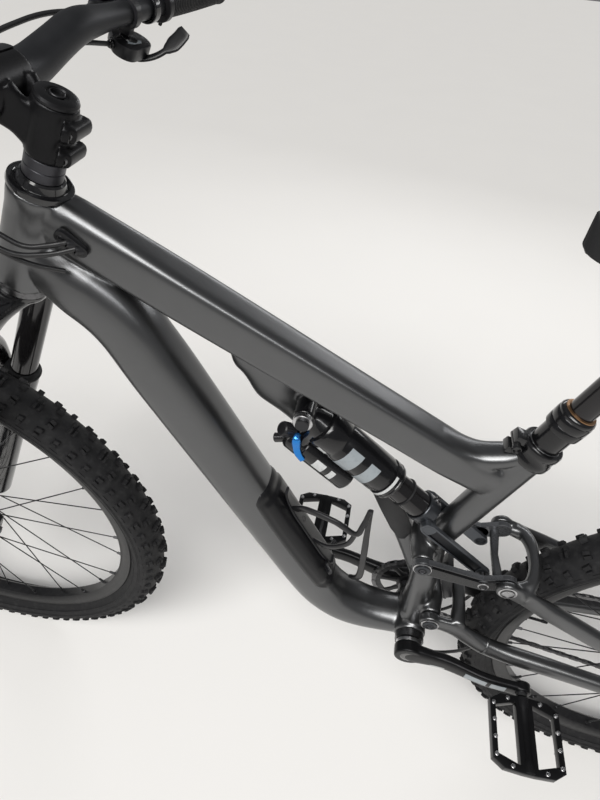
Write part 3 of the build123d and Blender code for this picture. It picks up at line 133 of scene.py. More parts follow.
# ---------------------------------------------------------------- mesh makers
def add_rings(shape, rings, caps=True, closed=False):
    """Skin a row of point rings."""
    rows = [[shape.verts.new(point) for point in ring] for ring in rings]
    count = len(rows[0])
    pairs = list(zip(rows, rows[1:])) + ([(rows[-1], rows[0])] if closed else [])
    for low, high in pairs:
        for index in range(count):
            after = (index + 1) % count
            shape.faces.new((low[index], low[after], high[after], high[index]))
    if caps and not closed:
        shape.faces.new(list(reversed(rows[0])))
        shape.faces.new(rows[-1])
    return rows


def add_sheet(shape, grid):
    """Skin a grid of points, and return its vertices by row."""
    rows = [[shape.verts.new(point) for point in line] for line in grid]
    for low, high in zip(rows, rows[1:]):
        for index in range(len(low) - 1):
            shape.faces.new((low[index], low[index + 1], high[index + 1], high[index]))
    return rows


def relax(shape, verts, factor, rounds):
    """Even out some vertices."""
    for _ in range(rounds):
        bmesh.ops.smooth_vert(shape, verts=verts, factor=factor, use_axis_x=True, use_axis_y=True, use_axis_z=True)


def oval(centre, across, upward, half_across, half_up, squareness=2.0, count=36):
    """A ring between an ellipse and a rounded box."""
    points = []
    for index in range(count):
        angle = math.tau * index / count
        cosine, sine = math.cos(angle), math.sin(angle)
        x = math.copysign(abs(cosine) ** (2 / squareness), cosine) * half_across * MM
        y = math.copysign(abs(sine) ** (2 / squareness), sine) * half_up * MM
        points.append(centre + across * x + upward * y)
    return points


def ease(stations, t):
    """Values between stations (t, value, value...), eased from one to the next."""
    if t <= stations[0][0]:
        return stations[0][1:]
    for low, high in zip(stations, stations[1:]):
        if t <= high[0]:
            part = (t - low[0]) / (high[0] - low[0])
            part = part * part * (3 - 2 * part)
            return tuple(a + (b - a) * part for a, b in zip(low[1:], high[1:]))
    return stations[-1][1:]


def curve_through(points, steps=10):
    """A smooth line through points."""
    line = []
    for index in range(len(points) - 1):
        before = points[max(index - 1, 0)]
        start, end = points[index], points[index + 1]
        after = points[min(index + 2, len(points) - 1)]
        for step in range(steps):
            t = step / steps
            line.append(0.5 * (2 * start + (end - before) * t
                               + (2 * before - 5 * start + 4 * end - after) * t ** 2
                               + (3 * start - before - 3 * end + after) * t ** 3))
    line.append(points[-1].copy())
    return line


def rounded(points, radii, steps=12):
    """Straight runs joined by tangent arcs, the radii in millimetres."""
    line = [points[0].copy()]
    for before, corner, after, radius in zip(points, points[1:], points[2:], radii):
        arrive, leave = (corner - before).normalized(), (after - corner).normalized()
        turn = arrive.angle(leave)
        reach = radius * MM * math.tan(turn / 2)
        start, end = corner - arrive * reach, corner + leave * reach
        for step in range(steps + 1):
            t = step / steps
            line.append(start * (1 - t) ** 2 + corner * 2 * t * (1 - t) + end * t ** 2)
    line.append(points[-1].copy())
    return line


def across_bike(half):
    """A line from the right side to the middle, carried on to the left side as its mirror image."""
    return half + [Vector((point.x, -point.y, point.z)) for point in reversed(half[:-1])]


def lengths(line):
    """How far along a line each of its points is, from 0 to 1."""
    total, marks = 0.0, [0.0]
    for a, b in zip(line, line[1:]):
        total += (b - a).length
        marks.append(total)
    return [mark / total for mark in marks]


def spread(line, gap):
    """The same line with points no further apart than gap millimetres."""
    result = [line[0]]
    for a, b in zip(line, line[1:]):
        parts = max(1, math.ceil((b - a).length / (gap * MM)))
        result += [a.lerp(b, (step + 1) / parts) for step in range(parts)]
    return result


def add_tube(shape, line, sections, count=36, reference=LEFT):
    """A tube along a line. Sections are (t, half across, half up, squareness)."""
    rings = []
    marks = lengths(line)
    for index, (centre, t) in enumerate(zip(line, marks)):
        before, after = line[max(index - 1, 0)], line[min(index + 1, len(line) - 1)]
        tangent = (after - before).normalized()
        across = (reference - tangent * reference.dot(tangent)).normalized()
        upward = tangent.cross(across)
        half_across, half_up, squareness = ease(sections, t)
        rings.append(oval(centre, across, upward, half_across, half_up, squareness, count))
    add_rings(shape, rings)


def add_wire(shape, line, radius, count=12):
    """A round wire along a free line, turned smoothly from point to point."""
    tangent = (line[1] - line[0]).normalized()
    side = tangent.orthogonal().normalized()
    rings = []
    for index, centre in enumerate(line):
        before, after = line[max(index - 1, 0)], line[min(index + 1, len(line) - 1)]
        tangent = (after - before).normalized()
        side = (side - tangent * side.dot(tangent)).normalized()
        rings.append(oval(centre, side, tangent.cross(side), radius, radius, 2.0, count))
    add_rings(shape, rings)


def add_turned(shape, place, profile, steps=48, closed=False):
    """A turned solid: profile is (height, radius) in millimetres along the place's z axis."""
    rings = []
    for height, radius in profile:
        ring = []
        for index in range(steps):
            angle = math.tau * index / steps
            ring.append(place @ Vector((radius * MM * math.cos(angle), radius * MM * math.sin(angle), height * MM)))
        rings.append(ring)
    add_rings(shape, rings, caps=not closed, closed=closed)


def add_box(shape, place, size, shrink=0.0, soft=0.0):
    """A box centred on a place; shrink tapers its top, soft bevels its edges."""
    x, y, z = (value * MM / 2 for value in size)
    scale = 1 - shrink
    corners = [(-x, -y, -z), (x, -y, -z), (x, y, -z), (-x, y, -z)]
    corners += [(a * scale, b * scale, z) for a, b, _ in corners]
    verts = [shape.verts.new(place @ Vector(corner)) for corner in corners]
    faces = [(3, 2, 1, 0), (4, 5, 6, 7), (0, 1, 5, 4), (1, 2, 6, 5), (2, 3, 7, 6), (3, 0, 4, 7)]
    made = [shape.faces.new([verts[index] for index in face]) for face in faces]
    if soft:
        edges = list({edge for face in made for edge in face.edges})
        bmesh.ops.bevel(shape, geom=edges, offset=soft * MM, segments=2, profile=0.6, affect="EDGES")


def hull(circles, steps=28):
    """The outline round some circles, given as (forward, up, radius)."""
    points = []
    for x, y, radius in circles:
        points += [(x + radius * math.cos(math.tau * i / steps), y + radius * math.sin(math.tau * i / steps))
                   for i in range(steps)]
    points.sort()

    def half(ordered):
        chain = []
        for point in ordered:
            while len(chain) > 1 and ((chain[-1][0] - chain[-2][0]) * (point[1] - chain[-2][1])
                                      - (chain[-1][1] - chain[-2][1]) * (point[0] - chain[-2][0])) <= 1e-9:
                chain.pop()
            chain.append(point)
        return chain[:-1]

    return half(points) + half(list(reversed(points)))


def add_plate(shape, place, outline, low, high, soft=0.8, pocket=None):
    """A flat plate: its outline is drawn on the place's x and y axes and it stands from low to high on z.
    A pocket is (rim, depth): a sunk panel inside the upper face."""
    face = shape.faces.new([shape.verts.new(place @ Vector((x * MM, y * MM, low * MM))) for x, y in outline])
    grown = bmesh.ops.extrude_face_region(shape, geom=[face])
    top = [item for item in grown["geom"] if isinstance(item, bmesh.types.BMFace)][0]
    lift = place.to_3x3() @ Vector((0, 0, (high - low) * MM))
    bmesh.ops.translate(shape, verts=list(top.verts), vec=lift)
    if pocket:
        rim, depth = pocket
        bmesh.ops.inset_region(shape, faces=[top], thickness=rim * MM, depth=0)
        bmesh.ops.inset_region(shape, faces=[top], thickness=0.6 * MM, depth=-depth * MM)
    if soft:
        rims = [edge for edge in shape.edges if len(edge.link_faces) == 2
                and edge.calc_face_angle(0) > 1.0 and (edge in top.edges or edge in face.edges)]
        if not pocket and rims:
            bmesh.ops.bevel(shape, geom=rims, offset=soft * MM, segments=2, profile=0.6, affect="EDGES")


def left_plate(shape, outline, low, high, soft=0.8, pocket=None):
    """A side-view plate from low to high, measured to the left, its outer face the one further from the middle."""
    outward = 1 if low + high > 0 else -1
    start, end = (low, high) if outward > 0 else (-high, -low)
    flip = Matrix(((1, 0, 0), (0, 0, outward), (0, 1, 0))).to_4x4()
    add_plate(shape, Matrix.Translation(spot(0, 0, 0)) @ flip, outline, start, end, soft, pocket)


def add_bolt(shape, place, radius, height=3.0, socket=None):
    """A low round bolt head with a hexagon socket."""
    socket = socket or radius * 0.52
    profile = [(-0.5, radius), (height - 0.8, radius), (height - 0.2, radius * 0.93), (height, radius * 0.84)]
    add_turned(shape, place, profile, 32)
    shape.faces.ensure_lookup_table()
    cap = shape.faces[-1]
    bmesh.ops.inset_region(shape, faces=[cap], thickness=(radius * 0.84 - socket) * MM, depth=0)
    bmesh.ops.inset_region(shape, faces=[cap], thickness=0.05 * MM, depth=-min(height, 2.6) * MM)


# ---------------------------------------------------------------- finishing pieces
def mark_creases(mesh_shape, limit=0.6):
    """Smooth shading everywhere but across real edges."""
    for face in mesh_shape.faces:
        face.smooth = True
    for edge in mesh_shape.edges:
        edge.smooth = len(edge.link_faces) != 2 or edge.calc_face_angle(0) < limit


def piece(name, shape, material, body, replaces=(), crease=0.6):
    """Turn a drawn shape into an object that rides on a body."""
    bmesh.ops.recalc_face_normals(shape, faces=shape.faces)
    mark_creases(shape, crease)
    mesh = bpy.data.meshes.new(name)
    shape.to_mesh(mesh)
    shape.free()
    made = bpy.data.objects.new(name, mesh)
    bpy.context.scene.collection.objects.link(made)
    mesh.materials.append(material)
    if body:
        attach(made, body)
    if replaces:
        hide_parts(*replaces)
    return made


def melt(shape, voxel, rounds, factor=0.5):
    """Fuse overlapping solids into one skin, as a smooth weld does, and return it as a new shape."""
    mesh = bpy.data.meshes.new("melt")
    bmesh.ops.recalc_face_normals(shape, faces=shape.faces)
    shape.to_mesh(mesh)
    shape.free()
    helper = bpy.data.objects.new("melt", mesh)
    bpy.context.scene.collection.objects.link(helper)
    grid = helper.modifiers.new("grid", "REMESH")
    grid.mode = "VOXEL"
    grid.voxel_size = voxel * MM
    grid.use_smooth_shade = True
    soften = helper.modifiers.new("soften", "SMOOTH")
    soften.factor = factor
    soften.iterations = rounds
    graph = bpy.context.evaluated_depsgraph_get()
    made = bpy.data.meshes.new_from_object(helper.evaluated_get(graph))
    result = bmesh.new()
    result.from_mesh(made)
    bpy.data.objects.remove(helper)
    bpy.data.meshes.remove(mesh)
    bpy.data.meshes.remove(made)
    return result


# ---------------------------------------------------------------- materials
def surface(name, colour, metallic=0.0, rough=0.5, vary=0.12, grain=60.0, bump=0.0, bump_grain=900.0,
            rough_vary=0.08, coat=0.0, coat_rough=0.1, dust=None, wear_and_edge_highlight=0.0, wear_and_edge_highlight_colour=(0.5, 0.5, 0.5),
            anisotropic=0.0, specular=0.5):
    """A procedural material: uneven colour and roughness, a fine bump, patches of dust, and a lighter colour on sharp
    edges that stands for wear and, on the yoke, is a painted highlight along its chamfers.
    Dust is (colour, grain, how much at most)."""
    material = bpy.data.materials.new(name)
    material.use_nodes = True
    nodes, links = material.node_tree.nodes, material.node_tree.links
    shader = nodes["Principled BSDF"]
    for label, value in (("Metallic", metallic), ("Coat Weight", coat), ("Coat Roughness", coat_rough),
                         ("Anisotropic", anisotropic), ("Specular IOR Level", specular)):
        shader.inputs[label].default_value = value
    where = nodes.new("ShaderNodeTexCoord").outputs["Object"]

    def node(kind, **values):
        """A node with some inputs set: from_min stands for the input called From Min."""
        made = nodes.new("ShaderNode" + kind)
        if kind == "Mix":
            made.data_type = "RGBA"
        for label, value in values.items():
            made.inputs[label.replace("_", " ").title()].default_value = value
        return made

    def noise(scale, detail):
        made = node("TexNoise", scale=scale, detail=detail)
        links.new(where, made.inputs["Vector"])
        return made.outputs["Fac"]

    def ranged(value, **limits):
        made = node("MapRange", **limits)
        links.new(value, made.inputs["Value"])
        return made.outputs["Result"]

    def over(factor, under, top):
        """A colour laid over another one by a factor."""
        made = node("Mix", b=(*top, 1))
        links.new(factor, made.inputs["Factor"])
        if isinstance(under, bpy.types.NodeSocket):
            links.new(under, made.inputs["A"])
        else:
            made.inputs["A"].default_value = (*under, 1)
        return made.outputs["Result"]

    cloud = noise(grain, 4.0)
    tint = over(cloud, [c * (1 - vary) for c in colour], [min(c * (1 + vary), 1) for c in colour])
    if dust:
        dust_colour, dust_grain, dust_most = dust
        tint = over(ranged(noise(dust_grain, 8.0), from_min=0.5, from_max=0.75, to_max=dust_most), tint, dust_colour)
    if wear_and_edge_highlight:
        # lighter colour on sharp edges: edge wear, and on the yoke a painted highlight along its chamfers
        edges = nodes.new("ShaderNodeNewGeometry").outputs["Pointiness"]
        tint = over(ranged(edges, from_min=0.53, from_max=0.62, to_max=wear_and_edge_highlight), tint, wear_and_edge_highlight_colour)
    links.new(tint, shader.inputs["Base Color"])
    shine = ranged(cloud, to_min=max(rough - rough_vary, 0.03), to_max=min(rough + rough_vary, 1.0))
    links.new(shine, shader.inputs["Roughness"])
    if bump:
        relief = node("Bump", strength=bump, distance=0.0004)
        links.new(noise(bump_grain, 3.0), relief.inputs["Height"])
        links.new(relief.outputs["Normal"], shader.inputs["Normal"])
    return material


SMOKE = surface("smoke_satin", (0.135, 0.137, 0.140), metallic=0.95, rough=0.31, vary=0.05, grain=40, bump=0.03,
                bump_grain=2600, rough_vary=0.03, wear_and_edge_highlight=0.08, wear_and_edge_highlight_colour=(0.28, 0.29, 0.30))
SATIN_BLACK = surface("satin_black_anodised", (0.012, 0.012, 0.013), metallic=0.6, rough=0.33, vary=0.15, bump=0.06,
                      specular=0.25, bump_grain=2200, wear_and_edge_highlight=0.15, wear_and_edge_highlight_colour=(0.16, 0.16, 0.17))
BAR_GREY = surface("charcoal_blasted", (0.03, 0.031, 0.034), metallic=0.7, rough=0.48, vary=0.1, bump=0.10,
                   bump_grain=2500, wear_and_edge_highlight=0.1, wear_and_edge_highlight_colour=(0.2, 0.2, 0.21))
SPACER_GREY = surface("charcoal_turned", (0.06, 0.06, 0.067), metallic=0.8, rough=0.4, vary=0.1, bump=0.08,
                      bump_grain=1800)
GLOSS_BLACK = surface("gloss_black", (0.008, 0.008, 0.009), metallic=0.1, rough=0.16, vary=0.15, rough_vary=0.04,
                      coat=0.7, coat_rough=0.06, dust=((0.05, 0.05, 0.05), 260, 0.25))
STANCHION = surface("dark_polished", (0.02, 0.019, 0.02), metallic=0.6, rough=0.13, vary=0.1, rough_vary=0.04,
                    coat=0.4)
SHOCK_BLACK = surface("shock_black", (0.006, 0.006, 0.007), specular=0.4, metallic=0.3, rough=0.22, vary=0.15,
                      rough_vary=0.05, coat=0.5, coat_rough=0.1, wear_and_edge_highlight=0.1, wear_and_edge_highlight_colour=(0.2, 0.2, 0.2))
LINK_BLACK = surface("link_black", (0.010, 0.010, 0.011), specular=0.35, metallic=0.6, rough=0.27, vary=0.12,
                     rough_vary=0.05, coat=0.25, wear_and_edge_highlight=0.55, wear_and_edge_highlight_colour=(0.30, 0.31, 0.33))
# the yoke's much lighter edge colour is a painted highlight along its machined chamfers
YOKE_GREY = surface("yoke_grey", (0.016, 0.017, 0.02), metallic=0.75, rough=0.3, vary=0.1, rough_vary=0.05,
                    wear_and_edge_highlight=0.4, wear_and_edge_highlight_colour=(0.26, 0.28, 0.31))
SILVER = surface("machined_silver", (0.55, 0.55, 0.56), metallic=1.0, rough=0.28, vary=0.08, bump=0.05,
                 bump_grain=1500)
STEEL = surface("dark_steel", (0.16, 0.16, 0.165), metallic=1.0, rough=0.34, vary=0.2, grain=120, bump=0.05,
                dust=((0.03, 0.03, 0.03), 300, 0.6))
ROTOR_STEEL = surface("ground_steel", (0.5, 0.5, 0.5), metallic=1.0, rough=0.26, vary=0.1, grain=30, bump=0.1,
                      bump_grain=900, anisotropic=0.5)
BRONZE = surface("bronze_ring", (0.33, 0.19, 0.10), metallic=0.9, rough=0.35, vary=0.1)
BLUE = surface("blue_anodised", (0.01, 0.20, 0.62), metallic=0.75, rough=0.25, vary=0.12, coat=0.3, wear_and_edge_highlight=0.4,
               wear_and_edge_highlight_colour=(0.3, 0.55, 0.9))
TYRE = surface("tyre_rubber", (0.008, 0.008, 0.009), specular=0.3, rough=0.68, vary=0.25, grain=55, bump=0.35,
               bump_grain=700, rough_vary=0.12, dust=((0.055, 0.055, 0.055), 120, 0.25))
RUBBER = surface("grip_rubber", (0.009, 0.009, 0.010), specular=0.3, rough=0.62, vary=0.2, bump=0.25, bump_grain=1400,
                 rough_vary=0.1, dust=((0.07, 0.07, 0.07), 200, 0.2))
PLASTIC = surface("moulded_plastic", (0.006, 0.006, 0.007), specular=0.35, rough=0.33, vary=0.15, bump=0.16,
                  bump_grain=1700, rough_vary=0.08, wear_and_edge_highlight=0.2, wear_and_edge_highlight_colour=(0.09, 0.09, 0.1))
HOSE = surface("hose_black", (0.012, 0.012, 0.013), rough=0.38, vary=0.15, rough_vary=0.06, coat=0.1)
COVER = surface("saddle_cover", (0.008, 0.008, 0.009), specular=0.35, rough=0.5, vary=0.15, bump=0.3, bump_grain=1100,
                rough_vary=0.06)
GRAPHIC_GREY = surface("print_grey", (0.26, 0.29, 0.31), rough=0.35, vary=0.06, rough_vary=0.04, coat=0.3,
                       dust=((0.1, 0.1, 0.1), 220, 0.2))
GRAPHIC_PALE = surface("print_pale", (0.52, 0.53, 0.53), rough=0.42, vary=0.08, grain=90, rough_vary=0.05,
                       dust=((0.2, 0.2, 0.2), 260, 0.35))
RIM_BLACK = surface("rim_black", (0.012, 0.012, 0.013), metallic=0.35, rough=0.36, vary=0.15, bump=0.05,
                    rough_vary=0.06, dust=((0.07, 0.07, 0.07), 160, 0.2))

# ---------------------------------------------------------------- front triangle
HEAD_LENGTH = 109.6
HEAD_FOOT = stand(steer(0, 0, -HEAD_LENGTH), STEER_UP, AHEAD)
TOP_LINE = curve_through([spot(486, 608), spot(440, 585), spot(231, 480), spot(100, 414.5), spot(36, 382),
                          spot(-8, 362), spot(-34, 352)], 12)
DOWN_LINE = spread(rounded([spot(14, -9), spot(126, -12), spot(415, 497), spot(496, 556)], [130, 150]), 12)
SEAT_LINE = spread([spot(-4, 8), spot(6, 120), SEAT_BEND], 8)
MAST_LINE = spread([SEAT_BEND, seat(223)], 8)
ARM_LINE = curve_through([spot(304, 492, -8), spot(270, 458, -18), spot(233, 418, -28), spot(200, 378, -36),
                          spot(161, 338, -40), spot(102, 259, -40),
                          spot(66, 204, -39), spot(38, 152, -37), spot(10, 96, -29), spot(0, 66, -20)], 8)


def front_triangle():
    """The welded front triangle with its one-sided brace, as one fused skin."""
    shape = bmesh.new()
    add_turned(shape, HEAD_FOOT, [(0, 30.5), (8, 31), (22, 30), (55, 28), (88, 27.6), (102, 28.6), (109.4, 28.4)], 56)
    add_tube(shape, TOP_LINE, [(0, 22, 25, 2.2), (0.08, 22, 27, 3.0), (0.3, 22.5, 25, 5.0), (0.82, 21.5, 23, 5.0),
                               (0.93, 21, 25, 3.0), (1, 17, 24, 2.4)], 56)
    add_tube(shape, DOWN_LINE, [(0, 31, 25, 2.2), (0.14, 34, 33, 2.5), (0.3, 34, 36, 2.8), (0.75, 33.5, 36.5, 2.9),
                                (0.92, 30, 36, 2.5), (1, 26, 31, 2.2)], 64)
    add_tube(shape, SEAT_LINE, [(0, 30, 23, 2.4), (0.45, 23, 20, 2.4), (0.8, 20, 19.5, 2.2), (1, 19.2, 19.2, 2.0)], 40)
    add_tube(shape, MAST_LINE, [(0, 19.2, 19.2, 2.0), (0.55, 19.2, 19.2, 2.0), (1, 19.2, 19.2, 2.0)], 40)
    add_turned(shape, stand(SEAT_BEND - LEFT * 0.001, UP), [(-18, 6), (-14, 14), (0, 19.6), (14, 14), (18, 6)], 32)
    # the swept gusset behind the top tube's end, and the web under it
    add_tube(shape, curve_through([spot(96, 422), spot(46, 401), spot(8, 390), spot(-20, 397), seat(205, -8)], 8),
             [(0, 12, 6, 2.2), (0.35, 18, 12, 2.6), (0.7, 18, 13, 2.4), (1, 16.5, 10, 2.0)], 32)
    add_tube(shape, curve_through([spot(78, 398), spot(34, 378), spot(2, 362), seat(150, -2)], 8),
             [(0, 17, 16, 3.0), (0.5, 18.5, 22, 2.8), (1, 17.5, 18, 2.4)], 40)
    add_tube(shape, ARM_LINE, [(0, 7, 6, 2.4), (0.09, 9, 30, 3.0), (0.19, 10, 44, 3.0), (0.29, 10.5, 37, 3.0),
                               (0.40, 10.5, 25, 3.0), (0.6, 10.5, 14.5, 2.8), (0.75, 10.5, 16.5, 2.8),
                               (0.88, 12, 17, 2.6), (1, 12, 15, 2.2)], 44)
    # the shock's eye hangs from a boss on the brace
    add_turned(shape, stand(SHOCK_EYE + LEFT * -36 * MM, LEFT), [(0, 15), (14, 14), (21.5, 12.5)], 32)
    # shell, pivot bosses and their webs
    add_turned(shape, stand(spot(0, 0, -36), LEFT), [(0, 23.4), (3, 24.4), (9, 24.2), (36, 26), (63, 24.2),
                                                     (69, 24.4), (72, 23.4)], 48)
    add_turned(shape, stand(spot(*ROCKER_PIVOT, -36.8), LEFT), [(0, 14), (8, 14.6), (20, 17), (37, 18), (54, 17),
                                                          (65.6, 14.6), (73.6, 14)], 40)
    add_turned(shape, stand(spot(*MAIN_PIVOT, -31.8), LEFT),
               [(0, 15), (10, 15.6), (31.8, 19), (53, 15.6), (63.6, 15)], 40)
    add_tube(shape, spread([spot(14, 20), spot(-14, 62)], 6), [(0, 26, 14, 2.4), (1, 24, 12, 2.4)], 32)
    skin = melt(shape, 2.0, 9)
    piece("frame_front_triangle", skin, SMOKE, "frame",
          ("head_tube", "top_tube", "down_tube", "seat_tube", "side_arm", "bottom_bracket_shell"), 1.2)


front_triangle()


def weld_ring(name, centre, normal, radius_across, radius_up, ahead, bead, body):
    """A low smooth weld bead round a tube."""
    shape = bmesh.new()
    up = normal.normalized().cross(ahead).normalized()
    rings = []
    steps = 72
    for index in range(steps):
        angle = math.tau * index / steps
        out = ahead * math.cos(angle) * radius_across + up * math.sin(angle) * radius_up
        wander = 1 + 0.05 * math.sin(index * 2.1)
        rings.append(oval(centre + out * MM, out.normalized(), normal.normalized(), bead * 0.5 * wander, bead * 1.5,
                          2.0, 10))
    add_rings(shape, rings, caps=False, closed=True)
    piece(name, shape, SMOKE, body)


def arm_protector():
    """The moulded pad stuck to the brace's lower part."""
    shape = bmesh.new()
    outline = [(112, 262), (94, 270), (68, 244), (40, 194), (37, 182), (44, 160), (52, 158), (68, 178), (92, 222)]
    left_plate(shape, outline, -29.6, -26.4, 1.0)
    piece("brace_protector", shape, PLASTIC, "frame")


arm_protector()


def cable_port():
    """A pill-shaped guide set into the head tube's left side, with two entries and a screw."""
    shape = bmesh.new()
    start, end = spot(447, 594, 28.0), spot(430, 579, 25.0)
    lie = (end - start).normalized()
    out = (LEFT - lie * LEFT.dot(lie)).normalized()
    place = stand((start + end) / 2, out, lie)
    outline = hull([(-10.5, 0, 6.2), (10.5, 0, 6.2)], 36)
    add_plate(shape, place, outline, -4, 2.2, 0.9)
    for along in (-1, 8):
        lean = stand(place @ Vector((along * MM, 0, 1.5 * MM)), out * 0.55 + AHEAD * 0.8 + LEFT * 0.2)
        add_turned(shape, lean, [(-4, 4.8), (1.5, 4.4), (3.4, 3.7), (3.6, 3.0), (0, 2.7)], 24)
    add_bolt(shape, stand(place @ Vector((-10 * MM, 0, 1.6 * MM)), out), 2.6, 1.4)
    piece("cable_port", shape, PLASTIC, "frame")


cable_port()


def bolt_piece(name, spots, material, body, replaces=()):
    """Bolt heads; spots are (centre, outward, radius, height)."""
    shape = bmesh.new()
    for centre, outward, radius, height in spots:
        add_bolt(shape, stand(centre, outward), radius, height)
    piece(name, shape, material, body, replaces)


bolt_piece("frame_pivot_bolt_heads", [
    (spot(*ROCKER_PIVOT, 46.6), LEFT, 10.5, 2.0), (spot(*ROCKER_PIVOT, -46.6), -LEFT, 10.5, 2.0),
    (spot(*MAIN_PIVOT, 47.6), LEFT, 10.6, 2.0), (spot(*MAIN_PIVOT, -47.6), -LEFT, 10.6, 2.0),
    (SHOCK_EYE + LEFT * 18.5 * MM, LEFT, 7.4, 4.2)], SATIN_BLACK, "frame")


def bolt_rims():
    """The bright washers round the pivot bolts."""
    shape = bmesh.new()
    for centre, outward, radius in ((spot(*ROCKER_PIVOT, 46.6), LEFT, 12.4), (spot(*ROCKER_PIVOT, -46.6), -LEFT, 12.4),
                                    (spot(*MAIN_PIVOT, 47.2), LEFT, 13.2), (spot(*MAIN_PIVOT, -47.2), -LEFT, 13.2),
                                    (SHOCK_EYE + LEFT * 14.4 * MM, LEFT, 11.6)):
        height = 6.4 if centre.z > 0.7 else 1.0
        add_turned(shape, stand(centre, outward),
                   [(0, radius - 3), (0, radius), (height - 0.6, radius), (height, radius - 0.8),
                    (height, radius - 3)], 48)
    piece("pivot_washers", shape, SILVER, "frame")
    heads, drives = bmesh.new(), bmesh.new()
    for centre, outward, radius in ((spot(*ROCKER_PIVOT, 49.1), LEFT, 9.6), (spot(*ROCKER_PIVOT, -49.1), -LEFT, 9.6),
                                    (spot(*MAIN_PIVOT, 49.1), LEFT, 10.2), (spot(*MAIN_PIVOT, -49.1), -LEFT, 10.2)):
        place = stand(centre, outward)
        add_turned(heads, place, [(-0.6, radius), (0.2, radius), (0.6, radius - 0.8), (0.6, radius * 0.56),
                                  (-0.4, radius * 0.5), (-0.4, 0.5)], 40)
        add_turned(drives, place, [(-0.5, radius * 0.44), (0.7, radius * 0.44), (0.7, radius * 0.26),
                                   (-0.2, radius * 0.24), (-0.2, 0.4)], 6)
    piece("pivot_bolt_faces", heads, YOKE_GREY, "frame", (), 0.5)
    piece("pivot_bolt_drives", drives, SPACER_GREY, "frame", (), 0.5)


bolt_rims()


def fin_trim():
    """The small black fender behind the seat tube."""
    shape = bmesh.new()
    outline = [(-16, 176), (-25, 170), (-36, 120), (-42, 96), (-34, 90), (-22, 112), (-12, 150)]
    left_plate(shape, outline, -13, 13, 1.2)
    piece("seat_tube_fender", shape, PLASTIC, "frame")


fin_trim()


# ---------------------------------------------------------------- storage door and bottle cage
DOOR_FOOT, DOOR_HEAD = spot(126, -12), spot(415, 497)
DOOR_ALONG = (DOOR_HEAD - DOOR_FOOT).normalized()
DOOR_UP = LEFT.cross(DOOR_ALONG).normalized()
if DOOR_UP.x > 0:
    DOOR_UP = -DOOR_UP


def on_tube(along, angle, radius):
    """A place round the down tube: angle 0 is its top, 90 is its left."""
    turn = math.radians(angle)
    return DOOR_FOOT + (DOOR_ALONG * along + (DOOR_UP * math.cos(turn) + LEFT * math.sin(turn)) * radius) * MM


def door_radius(angle):
    """How far the down tube's squared surface is from its middle, at an angle from its top."""
    turn, power = math.radians(angle), 2.85
    return (abs(math.cos(turn) / 36.4) ** power + abs(math.sin(turn) / 33.6) ** power) ** (-1 / power)


def storage_door():
    """The moulded door over the frame's storage: a domed lid inside a flange, its ends rounded."""
    shape = bmesh.new()
    start, end, rows, columns = 78.0, 304.0, 64, 40
    grid = []
    for row in range(rows + 1):
        t = row / rows
        along = start + (end - start) * t
        ends = min(1.0, 0.62 + min(t, 1 - t) * 7.0)
        line = []
        for column in range(columns + 1):
            side = column / columns * 2 - 1
            half = 60 + 8 * math.sin(math.pi * t) ** 0.5
            angle = side * half * (0.30 + 0.70 * ends)
            edge = 1 - abs(side)
            lip = 1.6 if edge < 0.055 else (2.8 if edge < 0.16 else (2.0 if edge < 0.20 else 4.6))
            tip = min(t, 1 - t) * (end - start)
            lip = min(lip, 1.4 if tip < 5 else (2.6 if tip < 14 else (2.0 if tip < 18 else 4.6)))
            line.append(on_tube(along, angle, door_radius(angle) + lip - 0.4))
        grid.append(line)
    upper = add_sheet(shape, grid)
    grown = bmesh.ops.extrude_edge_only(shape, edges=[edge for edge in shape.edges if edge.is_boundary])
    for item in grown["geom"]:
        if isinstance(item, bmesh.types.BMVert):
            out = item.co - DOOR_FOOT
            out -= DOOR_ALONG * out.dot(DOOR_ALONG)
            item.co -= out.normalized() * 5 * MM
    relax(shape, [vert for line in upper for vert in line], 0.4, 2)
    piece("storage_door_moulding", shape, PLASTIC, "frame", ("storage_door",), 0.9)


storage_door()


